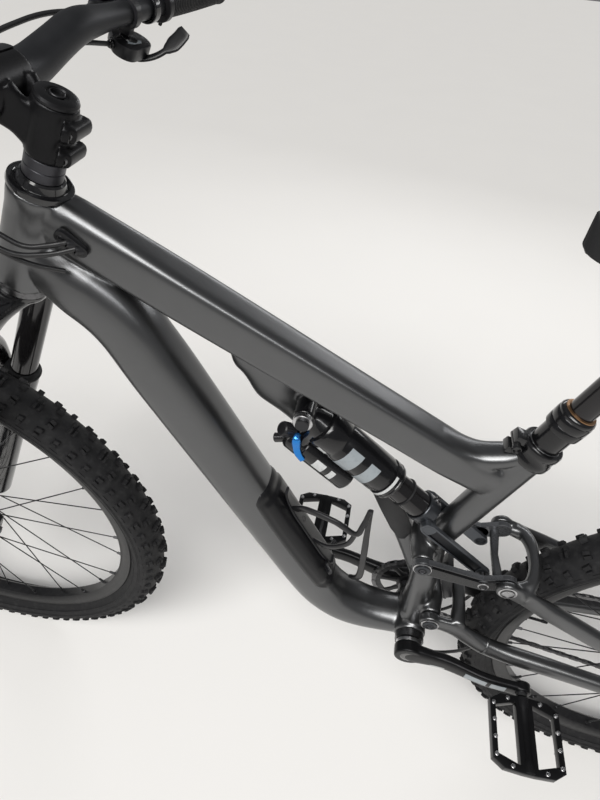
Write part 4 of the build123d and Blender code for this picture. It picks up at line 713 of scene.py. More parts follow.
def bottle_cage():
    """A bent-strip bottle cage: a spine, one V-shaped arm on the left and a band round the bottle."""
    shape = bmesh.new()
    base = 41.5
    spine = [on_tube(along, 0, base + lift)
             for along, lift in ((112, 6), (118, 2), (150, 1.5), (235, 1.5), (262, 3), (276, 7))]
    add_tube(shape, curve_through(spine, 8), [(0, 8, 1.8, 4), (0.2, 13, 2.4, 4), (0.7, 12, 2.4, 4), (1, 7, 2, 4)], 20)

    def hoop(along, angle):
        """A place round the bottle: angle 0 faces the door, 180 is furthest from it."""
        turn = math.radians(angle)
        centre = on_tube(along, 0, base + 37)
        return centre + (-DOOR_UP * math.cos(turn) + LEFT * math.sin(turn)) * 40 * MM

    upper = [spot(205, 226, 8), spot(190, 252, 24), spot(150, 256, 36), spot(121, 241, 38), spot(114, 262, 37),
             spot(110, 289, 34)]
    lower = [spot(109, 291, 34), spot(106, 240, 31), spot(101, 170, 26), spot(99, 110, 19), spot(108, 84, 8)]
    strut = [spot(172, 170, 14), spot(150, 190, 32), spot(128, 214, 37), spot(121, 241, 38)]
    for line, sections in ((upper, [(0, 3.0, 6.5, 3), (0.5, 2.6, 4.6, 3), (1, 2.4, 3.2, 3)]),
                           (lower, [(0, 2.4, 3.2, 3), (0.5, 2.6, 4.6, 3), (1, 3.0, 5.5, 3)]),
                           (strut, [(0, 2.6, 5, 3), (1, 2.2, 3.2, 3)])):
        add_tube(shape, curve_through(line, 8), sections, 14)
    add_wire(shape, curve_through([hoop(119, a) for a in (-44, -20, 0, 20, 44)], 4), 3.4, 10)
    for along in (150, 214):
        add_bolt(shape, stand(on_tube(along, 0, base + 1.6), DOOR_UP), 4.6, 2.6)
    piece("bottle_cage_moulding", shape, PLASTIC, "frame", ("bottle_cage",))


bottle_cage()

# ---------------------------------------------------------------- seat clamp, dropper post and saddle
SEAT_STAND = stand(SEAT_BEND, SEAT_UP, Vector((SEAT_UP.z, 0, -SEAT_UP.x)))
SEAT_LENGTH = (spot(-79, 501) - SEAT_BEND).length / MM


def seat_collar():
    """The seat tube clamp, its split ear facing forward."""
    shape = bmesh.new()
    add_turned(shape, SEAT_STAND, [(195, 19.4), (195, 22.4), (196.5, 23.4), (203, 23.6), (205, 22.6), (213, 22.6),
                                   (215, 23.6), (220.5, 23.4), (222, 22.4), (222, 19.4)], 56)
    for height in (200, 217):
        add_box(shape, shifted(SEAT_STAND, 26, 0, height), (15, 19, 9), 0.1, 1.6)
    add_turned(shape, stand(seat(208.5, -27, -12), LEFT), [(0, 4.4), (24, 4.4)], 24)
    add_bolt(shape, stand(seat(208.5, -27, 12), LEFT), 5.2, 3.4)
    piece("seat_collar_clamp", shape, SHOCK_BLACK, "frame", ("seat_collar",))


HEAD_DROP = 24.0  # how far the head of the post stands below the end of the seat line


def dropper_outer():
    """The head of the dropper post that stands out of the seat tube, and its wiper ring."""
    shape = bmesh.new()
    top = SEAT_LENGTH - HEAD_DROP
    add_turned(shape, SEAT_STAND, [(186, 16.9), (222, 17.2), (top - 30, 17.2), (top - 29, 18.2), (top - 28, 20.2),
                                   (top - 20, 20.6), (top - 18.6, 19.8), (top - 17, 20.6), (top - 9, 20.6),
                                   (top - 7.4, 19.7), (top - 5, 20.2), (top - 2.5, 19.2), (top - 1, 17.0),
                                   (top - 0.8, 14.4)], 56)
    piece("dropper_collar", shape, SHOCK_BLACK, "frame", ("dropper_outer_tube",))
    ring = bmesh.new()
    add_turned(ring, SEAT_STAND, [(top - 0.9, 14.2), (top - 0.9, 17.2), (top + 0.1, 17.0), (top + 0.3, 15.2),
                                  (top + 0.3, 14.2)], 56, closed=True)
    piece("dropper_wiper_ring", ring, BRONZE, "frame")


seat_collar()
dropper_outer()


def saddle():
    """A padded racing saddle: a narrow nose, a flared rear, a relief channel and a turned-under skirt."""
    low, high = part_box("saddle")
    nose, tail = high.x - 0.012, low.x
    length = nose - tail
    shape = bmesh.new()
    rows, columns = 60, 28
    grid = []
    for row in range(rows + 1):
        t = row / rows
        x = nose - length * (0.006 + 0.988 * t)
        half = ease([(0, 0.001), (0.012, 0.007), (0.035, 0.0115), (0.08, 0.0155), (0.16, 0.018), (0.42, 0.024),
                     (0.62, 0.045), (0.80, 0.067), (0.93, 0.068), (1.0, 0.047)], t)[0]
        crown = high.z - 0.0005 - 0.007 * math.sin(math.pi * min(t * 1.1, 1.0))
        crown += 0.001 - (0.004 * max(0.0, t - 0.93) / 0.07)
        crown += 0.010 * max(0.0, 1 - t / 0.3) ** 1.5
        line = []
        for column in range(columns + 1):
            side = column / columns * 2 - 1
            across = math.sin(side * math.pi / 2)
            drop = (1 - math.sqrt(max(0.0, 1 - abs(across) ** 2.6))) * 0.026
            channel = 0.0045 * math.exp(-(across * half / 0.009) ** 2) * max(0.0, math.sin(math.pi * (t - 0.12) / 0.88))
            line.append(Vector((x, across * half, crown - drop - channel - abs(across) * 0.002)))
        grid.append(line)
    add_sheet(shape, grid)
    rim = [edge for edge in shape.edges if edge.is_boundary]
    middle = Vector(((nose + tail) / 2, 0, 0))
    for depth, pull in ((0.004, 0.0), (0.004, 0.0025), (0.0, 0.006), (-0.003, 0.012)):
        grown = bmesh.ops.extrude_edge_only(shape, edges=rim)
        rim = [item for item in grown["geom"] if isinstance(item, bmesh.types.BMEdge)]
        for item in grown["geom"]:
            if isinstance(item, bmesh.types.BMVert):
                inward = Vector((middle.x - item.co.x, -item.co.y * 2.4, 0)).normalized()
                item.co += inward * pull - UP * depth
                item.co.z = max(item.co.z, low.z + 0.001)
    bmesh.ops.edgeloop_fill(shape, edges=rim)
    relax(shape, shape.verts, 0.5, 3)
    bmesh.ops.subdivide_edges(shape, edges=shape.edges, cuts=1, use_grid_fill=True, smooth=1.0)
    made = piece("saddle_pad", shape, COVER, "seat", ("saddle",), 1.2)


saddle()

# ---------------------------------------------------------------- rear triangle
def lug(shape, place, low, high, radius, rim=1.2):
    """A rounded boss about a left-right axis at a side-view place."""
    add_turned(shape, stand(spot(place[0], place[1], low), LEFT),
               [(0, radius - rim), (rim, radius), (high - low - rim, radius), (high - low, radius - rim)], 40)


def chainstays():
    """The welded chainstays with their pivot lugs, bridge and guard."""
    shape = bmesh.new()
    for sign in (-1, 1):
        ends = sorted((sign * 33.0, sign * 46.4))
        lug(shape, MAIN_PIVOT, *ends, 15.4)
        line = curve_through([spot(*MAIN_PIVOT, sign * 39.8), spot(-52, 61, sign * 40), spot(-84, 44, sign * 41.5),
                              spot(-118, 34.5, sign * 46), spot(-200, 33, sign * 54), spot(-300, 30, sign * 63.5),
                              spot(-372, 22, sign * 69), spot(-417, 20, sign * 69.7)], 10)
        add_tube(shape, line, [(0, 6.5, 14, 2.8), (0.12, 7.2, 15.5, 2.8), (0.24, 11, 15.5, 2.4),
                               (0.34, 12.5, 14.5, 2.4), (0.7, 11, 13, 2.4), (0.9, 4.6, 12.6, 2.8),
                               (1, 3.9, 11, 2.8)], 36)
        ends = sorted((sign * 66.0, sign * 73.5))
        lug(shape, REAR_PIVOT, *ends, 12.2)
    add_tube(shape, curve_through(across_bike([spot(-56, 66, -40), spot(-58, 70, -20), spot(-59, 71, 0)]), 6),
             [(0, 11, 14, 2.6), (0.5, 9, 11, 2.6), (1, 11, 14, 2.6)], 28, reference=FORWARD)
    skin = melt(shape, 1.7, 9)
    piece("chainstay_weldment", skin, SMOKE, "chainstay", ("chainstays",), 1.2)
    for sign, name in ((1, "left"), (-1, "right")):
        weld_ring(f"chainstay_weld_{name}", spot(-104, 37, sign * 44.0), Vector((-0.93, -sign * -0.14, -0.25)),
                  12.0, 14.9, LEFT, 1.5, "chainstay")
    guard = bmesh.new()
    rails = [spot(-140, 48.5, -49), spot(-220, 46.5, -56.5), spot(-300, 43.5, -64)]
    add_tube(guard, curve_through(rails, 12), [(0, 7.4, 1.6, 3), (0.5, 8.4, 2.2, 3), (1, 6.8, 1.6, 3)], 20)
    piece("chainstay_guard", guard, RUBBER, "chainstay")


def seatstays():
    """The welded seatstays with their bridge, dropouts, hanger and pivot bolts."""
    shape = bmesh.new()
    for sign in (-1, 1):
        ends = sorted((sign * 46.8, sign * 56.4))
        lug(shape, STAY_PIVOT, *ends, 14.4)
        line = curve_through([spot(*STAY_PIVOT, sign * 51.4), spot(-106, 201, sign * 51.6),
                              spot(-150, 181, sign * 54.5), spot(-240, 141, sign * 62), spot(-340, 96, sign * 70.5),
                              spot(-412, 64, sign * 78), spot(-448, 42, sign * 79.4)], 10)
        add_tube(shape, line, [(0, 4.8, 13.4, 3.0), (0.07, 5.2, 13.8, 3.0), (0.18, 8.8, 14, 2.8),
                               (0.6, 8.8, 12.6, 2.8), (0.86, 6.4, 11, 2.8), (0.94, 5.4, 13, 3.0),
                               (1, 5.4, 14, 3.0)], 36)
        low, high = sorted((sign * 74.2, sign * 84.6))
        lug(shape, REAR_PLACE, low, high, 16.4)
        left_plate(shape, hull([(*REAR_PLACE, 14), (*REAR_PIVOT, 12)]), low, high, 0)
        left_plate(shape, hull([(*REAR_PLACE, 14), (-424, 58, 9)]), low, high, 0)
        lug(shape, REAR_PIVOT, low, high, 12.6)
    low, high = -84.0, -74.6
    left_plate(shape, hull([(*REAR_PLACE, 11), (-462, 8, 9.5)]), low, high, 0)
    bridge = across_bike([spot(-98, 206, -50), spot(-111, 211, -40), spot(-118, 214, -22), spot(-119.5, 214.5, 0)])
    add_tube(shape, curve_through(bridge, 8),
             [(0, 13, 9, 2.4), (0.2, 8.5, 9, 2.4), (0.5, 7, 9, 2.4), (0.8, 8.5, 9, 2.4), (1, 13, 9, 2.4)], 32,
             reference=FORWARD)
    skin = melt(shape, 1.7, 8)
    piece("seatstay_weldment", skin, SMOKE, "seatstay", ("seatstays",), 1.2)
    spots = []
    for sign in (-1, 1):
        spots.append((spot(*STAY_PIVOT, sign * 56.2), LEFT * sign, 9.4, 2.2))
        spots.append((spot(*REAR_PIVOT, sign * 84.4), LEFT * sign, 8.4, 2.4))
    bolt_piece("seatstay_pivot_bolts", spots, SHOCK_BLACK, "seatstay")
    washers = bmesh.new()
    for sign in (-1, 1):
        for place, out, radius in ((STAY_PIVOT, 56.2, 11.4), (REAR_PIVOT, 84.4, 10.2)):
            add_turned(washers, stand(spot(*place, sign * out), LEFT * sign),
                       [(0, radius - 2.4), (0, radius), (0.7, radius), (1.1, radius - 0.6), (1.1, radius - 2.4)], 44)
    piece("seatstay_washers", washers, SILVER, "seatstay")


chainstays()
seatstays()


def rocker():
    """The rocker: on each side a pocketed arm from its pivot to the yoke bolt and the stay, tied by a bar."""
    shape = bmesh.new()
    for sign in (-1, 1):
        low, high = sorted((sign * 38.0, sign * 45.4))
        left_plate(shape, hull([(*ROCKER_PIVOT, 13.6), (*YOKE_PIN, 11.5)], 40), low, high, 0, pocket=(4.2, 2.0))
        left_plate(shape, hull([(*YOKE_PIN, 11.5), (*STAY_PIVOT, 13.0)], 40), low, high, 0, pocket=(3.6, 1.4))
        lug(shape, ROCKER_PIVOT, low, high + (0.8 if sign > 0 else 0), 14.0)
        lug(shape, YOKE_PIN, low, high + (0.8 if sign > 0 else 0), 11.8)
        lug(shape, STAY_PIVOT, low, high, 13.2)
    add_tube(shape, [spot(-73, 205, -40), spot(-70, 206, 0), spot(-73, 205, 40)],
             [(0, 6.5, 6.5, 2.2), (0.5, 5, 5, 2.2), (1, 6.5, 6.5, 2.2)], 24, reference=FORWARD)
    piece("rocker_link_machined", shape, LINK_BLACK, "rocker", ("rocker_link",), 0.5)


rocker()

# ---------------------------------------------------------------- shock
def shock():
    """The shock: head, can with its reservoir, dial, lever, shaft and travel ring."""
    axis = stand(SHOCK_EYE, SHOCK_BACK, SHOCK_SIDE)
    shape = bmesh.new()
    # head with the eye, then the piggyback bridge
    add_turned(shape, stand(SHOCK_EYE - LEFT * 13.7 * MM, LEFT), [(0, 11.6), (1, 12.6), (26.4, 12.6), (27.4, 11.6)], 36)
    add_tube(shape, [shock_at(4), shock_at(14), shock_at(26)],
             [(0, 13, 11, 2.6), (0.5, 15, 16, 2.4), (1, 20, 20, 2.0)], 36)
    add_tube(shape, curve_through([shock_at(24, -4), shock_at(25, -22), shock_at(26, -43)], 8),
             [(0, 17, 11, 3.0), (0.5, 13.5, 9.5, 3.0), (1, 14, 11, 2.6)], 32)
    skin = melt(shape, 1.0, 5)
    piece("shock_head", skin, SHOCK_BLACK, "shock", ("shock_body",), 1.0)
    can = bmesh.new()
    add_turned(can, axis, [(25, 18), (27, 23.6), (29, 24.8), (31, 25.3), (52, 25.3), (53, 24.9), (56, 24.9),
                           (57, 25.3), (126, 25.3), (129, 25.0), (130, 23.6), (133, 23.6), (134, 25.3), (139, 25.5),
                           (140, 24.6), (143, 24.6), (144, 25.3), (147, 24.8), (150, 22.0), (150.6, 19.6),
                           (150, 18.3)], 64)
    add_turned(can, stand(shock_at(14, -43), SHOCK_BACK),
               [(-2, 12.4), (0, 14.6), (3, 16.2), (18, 16.6), (19, 15.9), (21, 15.9), (22, 16.7), (94, 16.7),
                (96, 16.2), (98.6, 13.6), (99.6, 8)], 48)
    # a fat filler valve and a ribbed dial
    add_turned(can, stand(shock_at(10, -58), SHOCK_BACK * -0.7 - SHOCK_SIDE), [(-8, 6), (6, 6), (7, 5), (7.4, 3)], 24)
    piece("shock_can", can, SHOCK_BLACK, "shock", (), 0.5)
    dial = bmesh.new()
    dial_stand = stand(shock_at(1, -33, 9), (-SHOCK_BACK + LEFT * 0.55).normalized())
    add_turned(dial, dial_stand, [(-10, 8.8), (6, 8.8), (7.5, 7.6), (7.8, 4)], 36)
    for index in range(18):
        add_box(dial, shifted(spun(dial_stand, index, 18), 8.8, 0, 0), (1.2, 1.2, 9))
    piece("shock_dial", dial, PLASTIC, "shock", (), 0.5)
    lever = bmesh.new()
    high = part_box("shock_lever")[1]
    root = Vector(JOINTS["shock_lever_turn"]["pos_m"])
    lever_root = Vector((root.x, high.y - 2.4 * MM, root.z))
    line = curve_through([lever_root - LEFT * 6 * MM, lever_root, lever_root + (SHOCK_BACK * 8 - SHOCK_SIDE * 9) * MM,
                          lever_root + (SHOCK_BACK * 18 - SHOCK_SIDE * 17) * MM,
                          lever_root + (SHOCK_BACK * 29 - SHOCK_SIDE * 21) * MM], 8)
    add_tube(lever, line, [(0, 4, 4, 2.2), (0.25, 3, 5.4, 2.6), (0.6, 1.9, 4.4, 3.0), (1, 1.5, 3.4, 2.6)], 24,
             reference=LEFT * 0.8 + SHOCK_SIDE * 0.2)
    piece("shock_lever_blue", lever, BLUE, "shock_lever", ("shock_lever",), 0.7)
    shaft = bmesh.new()
    add_turned(shaft, axis, [(90, 17.6), (204, 17.6), (206, 18.4), (212, 18.4), (216, 15)], 56)
    piece("shock_shaft_tube", shaft, STANCHION, "shock_shaft", ("shock_shaft",), 0.5)
    seal = bmesh.new()
    add_turned(seal, axis, [(171, 17.5), (171, 19.2), (172.4, 19.8), (173.8, 19.2), (173.8, 17.5)], 48, closed=True)
    piece("shock_travel_ring", seal, RUBBER, "shock_shaft")


def yoke():
    """The forked yoke between the shock's shaft and the rocker's bolt."""
    shape = bmesh.new()
    span = (spot(*YOKE_PIN) - SHOCK_EYE).length / MM
    add_turned(shape, stand(SHOCK_EYE, SHOCK_BACK, SHOCK_SIDE),
               [(202, 18.2), (202, 20.2), (203, 21), (219, 21), (221, 20), (221, 10)], 44)
    add_tube(shape, [shock_at(221, 0, -28), shock_at(221, 0, 28)],
             [(0, 8, 9.5, 3.4), (0.5, 10, 12, 3.4), (1, 8, 9.5, 3.4)], 32, reference=SHOCK_SIDE)
    for sign in (-1, 1):
        low, high = sorted((sign * 22.4, sign * 28.2))
        outward = 1 if sign > 0 else -1
        flip = Matrix.Translation(SHOCK_EYE) @ Matrix((SHOCK_BACK, SHOCK_SIDE, LEFT * outward)).transposed().to_4x4()
        start, end = (low, high) if sign > 0 else (-high, -low)
        outline = hull([(222, 0, 9.6), (span, 0, 9.2), (268, 0, 9.0)], 36)
        add_plate(shape, flip, outline, start, end, 0.9, pocket=(2.6, 2.1))
        add_turned(shape, stand(shock_at(span, 0, low), LEFT), [(0, 8.4), (0.5, 9.4), (5.3, 9.4), (5.8, 8.4)], 36)
    piece("shock_yoke", shape, YOKE_GREY, "shock_shaft", (), 0.5)
    pins = []
    for sign in (-1, 1):
        pins.append((spot(*YOKE_PIN, sign * 46.2), LEFT * sign, 7.0, 1.9))
    bolt_piece("yoke_bolt_heads", pins, SILVER, "shock_shaft")
    rod = bmesh.new()
    for sign in (-1, 1):
        low = min(sign * 28.2, sign * 46.4)
        add_turned(rod, stand(spot(*YOKE_PIN, low), LEFT), [(0, 4), (18.2, 4)], 24)
    piece("yoke_bolt", rod, STEEL, "shock_shaft")
    bolt_piece("yoke_clamp_bolt", [(shock_at(212, 20, -4), SHOCK_SIDE, 4.4, 3.6)], STEEL, "shock_shaft")


def wrapped_patch(shape, origin, axis, zero, radius, outline, lift=0.25, cuts=6):
    """A thin printed patch on a cylinder; outline points are (along mm, degrees round)."""
    side = axis.cross(zero).normalized()
    flat = bmesh.new()
    flat.faces.new([flat.verts.new(Vector((along, turn, 0))) for along, turn in outline])
    least, most = min(turn for _, turn in outline), max(turn for _, turn in outline)
    for cut in range(1, cuts + 1):
        bmesh.ops.bisect_plane(flat, geom=list(flat.verts) + list(flat.edges) + list(flat.faces),
                               plane_co=(0, least + cut * (most - least) / (cuts + 1), 0), plane_no=(0, 1, 0))
    made = {}
    for vert in flat.verts:
        turn = math.radians(vert.co.y)
        out = zero * math.cos(turn) + side * math.sin(turn)
        made[vert] = shape.verts.new(origin + (axis * vert.co.x + out * (radius + lift)) * MM)
    for face in flat.faces:
        shape.faces.new([made[vert] for vert in face.verts])
    flat.free()


def shock_graphics():
    """Plain rectangular bands printed on the can and the reservoir."""
    grey, pale = bmesh.new(), bmesh.new()
    for shape, outline in (
        (grey, [(64, -44), (84, -44), (84, 40), (64, 40)]),
        (grey, [(96, -44), (112, -44), (112, 40), (96, 40)]),
        (pale, [(134.5, -60), (138.5, -60), (138.5, 50), (134.5, 50)]),
        (pale, [(36, 20), (48, 20), (48, 34), (36, 34)]),
    ):
        wrapped_patch(shape, SHOCK_EYE, SHOCK_BACK, LEFT, 25.4, outline, 0.2, 10)
    reservoir = SHOCK_EYE + (SHOCK_BACK * 14 - SHOCK_SIDE * 43) * MM
    for outline in ([(42, -30), (58, -30), (58, 14), (42, 14)], [(66, -30), (74, -30), (74, 14), (66, 14)]):
        wrapped_patch(pale, reservoir, SHOCK_BACK, LEFT, 16.8, outline, 0.2, 6)
    piece("shock_print_grey", grey, GRAPHIC_GREY, "shock")
    piece("shock_print_pale", pale, GRAPHIC_PALE, "shock")


shock()
yoke()
shock_graphics()


# ---------------------------------------------------------------- wheels
RIM_TOP, RIM_BED = 317.7, 297.0


def wheel_ring(name, centre, profile, material, body, replaces=(), steps=160, crease=0.6):
    """A ring turned about the axle; profile is (sideways, radius) and closes on itself."""
    shape = bmesh.new()
    rings = []
    for index in range(steps):
        angle = math.tau * index / steps
        out = radial(angle)
        rings.append([centre + (LEFT * side + out * radius) * MM for side, radius in profile])
    add_rings(shape, rings, caps=False, closed=True)
    piece(name, shape, material, body, replaces, crease)


def add_knob(shape, centre, out, round_way, side_way, size, height, lean=0.0):
    """One tread block on the casing: tapered, with a soft top edge."""
    long, wide = size[0] / 2, size[1] / 2
    layers = ((0, 1.12), (height * 0.86, 1.0), (height, 0.88))
    rows = []
    for lift, scale in layers:
        row = []
        for a, b in ((-1, -1), (1, -1), (1, 1), (-1, 1)):
            point = (out * (lift - (1.2 if lift == 0 else 0)) + round_way * (a * long * scale + lean * lift / height)
                     + side_way * b * wide * scale)
            row.append(shape.verts.new(centre + point * MM))
        rows.append(row)
    for low, high in zip(rows, rows[1:]):
        for index in range(4):
            after = (index + 1) % 4
            shape.faces.new((low[index], low[after], high[after], high[index]))
    shape.faces.new(rows[-1])


def tyre(name, centre, radius, half, body, pitches, knob_high, turn_sign):
    """A knobbed tyre: a smooth casing, centre pairs, offset pairs and alternating shoulder blocks."""
    middle = radius - half
    crown = half - knob_high

    def casing(angle):
        """Casing radius about the section's middle: 0 degrees is the crown."""
        return crown + (half - 1.2 - crown) * min(1.0, abs(angle) / 80) ** 2

    profile = []
    for degrees in range(-128, 129, 8):
        angle = math.radians(degrees)
        profile.append((math.sin(angle) * casing(degrees), middle + math.cos(angle) * casing(degrees)))
    bead = RIM_TOP - 4
    profile = [(-13.6, bead), (-14.2, RIM_TOP + 1.2)] + profile[1:-1] + [(14.2, RIM_TOP + 1.2), (13.6, bead)]
    wheel_ring(f"{name}_casing", centre, profile, TYRE, body, (name,), 192, 1.0)
    knobs = bmesh.new()
    rng = random.Random(7)

    def place(step, across, size, high, lean=0.0, skew=0.0):
        turn = turn_sign * math.tau * step / pitches
        out_wheel = radial(turn)
        round_way = Vector((-math.sin(turn), 0, math.cos(turn)))
        angle = math.radians(across)
        out = out_wheel * math.cos(angle) + LEFT * math.sin(angle)
        side_way = LEFT * math.cos(angle) - out_wheel * math.sin(angle)
        centre_point = centre + out_wheel * middle * MM + out * casing(across) * MM
        tilt = math.radians(skew)
        a = round_way * math.cos(tilt) + side_way * math.sin(tilt)
        b = side_way * math.cos(tilt) - round_way * math.sin(tilt)
        add_knob(knobs, centre_point, out, a, b, size, high + rng.uniform(-0.08, 0.08), lean)

    for step in range(pitches):
        wide = step % 2
        for sign in (-1, 1):
            if wide:
                place(step, sign * 22, (9.0, 5.0), knob_high * 0.98, 0.5, sign * 8)
                place(step, sign * 34, (9.0, 4.4), knob_high * 0.94, 0.5, sign * 8)
            else:
                place(step - 0.13, sign * 10, (3.6, 8.0), knob_high, 0.4)
                place(step + 0.13, sign * 10, (3.6, 8.0), knob_high, 0.4)
            place(step + 0.25, sign * 57, (9.4 if wide else 7.2, 5.6), knob_high * 0.86, 0.2, sign * -10)
            place(step + 0.25, sign * (70 if wide else 67), (7.0, 3.2 if wide else 4.4), knob_high * 0.62, 0, 0)
            place(step, sign * 85, (12.0, 1.6), 0.7)
    piece(f"{name}_tread", knobs, TYRE, body, (), 0.5)
    # fine ribs moulded round the sidewall
    ribs = bmesh.new()
    for sign in (-1, 1):
        for degrees in (98, 103, 122):
            angle = math.radians(degrees)
            reach = casing(degrees) + 0.1
            ring = []
            for index in range(128):
                turn = math.tau * index / 128
                out = radial(turn)
                base = centre + (LEFT * sign * math.sin(angle) * reach + out * (middle + math.cos(angle) * reach)) * MM
                ring.append(oval(base, LEFT, out, 0.5, 0.8, 2, 6))
            add_rings(ribs, ring, caps=False, closed=True)
    piece(f"{name}_sidewall_ribs", ribs, TYRE, body, (), 0.6)


def rim_and_nipples(name, centre, body, flanges, flange_radius, spokes=28):
    """A hooked rim laced with crossed spokes, their nipples and the valve."""
    profile = [(-9, RIM_BED - 0.2), (0, RIM_BED - 1.0), (9, RIM_BED - 0.2), (12.4, RIM_BED + 3), (14.6, RIM_BED + 9),
               (15.6, RIM_BED + 15), (15.8, RIM_TOP - 0.8), (15.2, RIM_TOP), (13.4, RIM_TOP), (12.9, RIM_TOP - 1.2),
               (12.8, RIM_BED + 13), (-12.8, RIM_BED + 13), (-12.9, RIM_TOP - 1.2), (-13.4, RIM_TOP),
               (-15.2, RIM_TOP), (-15.8, RIM_TOP - 0.8), (-15.6, RIM_BED + 15), (-14.6, RIM_BED + 9),
               (-12.4, RIM_BED + 3)]
    wheel_ring(f"{name}_hoop", centre, profile, RIM_BLACK, body, (f"{name}_rim",), 180, 0.5)
    wires, nipples = bmesh.new(), bmesh.new()
    step = 360 / spokes
    for index in range(spokes):
        on_left = index % 2 == 0
        leading = (index // 2) % 2 == 0
        flange = flanges[0] if on_left else -flanges[1]
        face = 2.6 if leading == on_left else -2.6
        rim_angle = math.radians(index * step)
        hub_angle = rim_angle + math.radians(74 if leading else -74)
        hub = radial(hub_angle)
        out = radial(rim_angle)
        start = centre + (hub * (flange_radius - 3) + LEFT * (flange + face)) * MM
        end = centre + (out * (RIM_BED - 0.4) + LEFT * (3 if on_left else -3)) * MM
        head = centre + (hub * (flange_radius - 3) + LEFT * (flange - face * 0.9)) * MM
        way = (end - start).normalized()
        add_wire(wires, curve_through([head, start - LEFT * face * 0.2 * MM, start + way * 5 * MM], 4)
                 + [start.lerp(end, part) for part in (0.3, 0.6, 1.0)], 0.95, 8)
        add_turned(nipples, stand(end - way * 11 * MM, way), [(0, 1.5), (0.6, 2.1), (9, 2.2), (10, 3.0), (12, 3.0)], 6)
    valve = stand(centre + Vector((math.cos(0.11), 0, math.sin(0.11))) * (RIM_BED - 38) * MM,
                  Vector((math.cos(0.11), 0, math.sin(0.11))))
    add_turned(nipples, valve, [(0, 1.6), (1, 2.6), (9, 2.6), (10, 2.2), (32, 2.2), (33, 5.4), (36, 5.4), (38, 4)], 20)
    piece(f"{name}_spoke_set", wires, SATIN_BLACK, body, (f"{name}_spokes",), 0.8)
    piece(f"{name}_nipples", nipples, SATIN_BLACK, body, (), 0.5)


for wheel_name, wheel_centre, wheel_radius, wheel_half, wheel_flanges, wheel_flange in (
    ("front", FRONT_AXLE, 374.0, 31.0, (24.0, 33.0), 26.0),
    ("rear", REAR_AXLE, 372.0, 29.0, (33.0, 21.0), 28.0),
):
    wheel_body = f"{wheel_name}_wheel"
    tyre(f"{wheel_name}_tyre", wheel_centre, wheel_radius, wheel_half, wheel_body, 84, 5.4, -1)
    rim_and_nipples(wheel_name, wheel_centre, wheel_body, wheel_flanges, wheel_flange)


def hub(name, centre, body, parts, replaces):
    """A turned hub: a waisted shell between two flanges, and its end caps."""
    shape = bmesh.new()
    add_turned(shape, stand(centre, LEFT), parts, 56)
    piece(f"{name}_hub_shell", shape, SATIN_BLACK, body, replaces, 0.5)


hub("front", FRONT_AXLE, "front_wheel",
    [(-54.6, 8), (-54.6, 12.5), (-46, 13), (-44, 16.5), (-37, 17.5), (-35, 28.6), (-31.5, 28.8), (-30, 19),
     (-18, 15), (8, 15), (20, 18.6), (22, 28.8), (25.5, 28.6), (27, 20), (37, 17), (45, 17), (45, 13), (54.6, 12.5),
     (54.6, 8)], ("front_hub",))
hub("rear", REAR_AXLE, "rear_wheel",
    [(-73.6, 6.5), (-73.6, 13.6), (-24, 14), (-23, 30.6), (-19.4, 30.6), (-18, 21), (-8, 19), (18, 19), (29, 21.4),
     (31, 30.6), (34.6, 30.6), (36, 20), (40, 17), (62, 17), (62, 13), (73.6, 12.6), (73.6, 6.5)], ("rear_hub",))


def rotor_lockrings():
    """The splined rings that hold the brake rotors."""
    for name, centre, side in (("front", FRONT_AXLE, 41), ("rear", REAR_AXLE, 58)):
        shape = bmesh.new()
        place = stand(centre + LEFT * (side + 0.9) * MM, LEFT)
        add_turned(shape, place, [(0, 17.2), (0, 25.5), (1.6, 25.5), (2.6, 24), (3.2, 20), (3.2, 17.2)], 48,
                   closed=True)
        for index in range(12):
            add_box(shape, shifted(spun(place, index, 12), 19.4, 0, 3.4), (3, 2.6, 1.4))
        piece(f"{name}_rotor_lockring", shape, SATIN_BLACK, f"{name}_wheel")


rotor_lockrings()

# ---------------------------------------------------------------- fork
LEG_FORWARD, LEG_SIDE = 10.0, 70.0


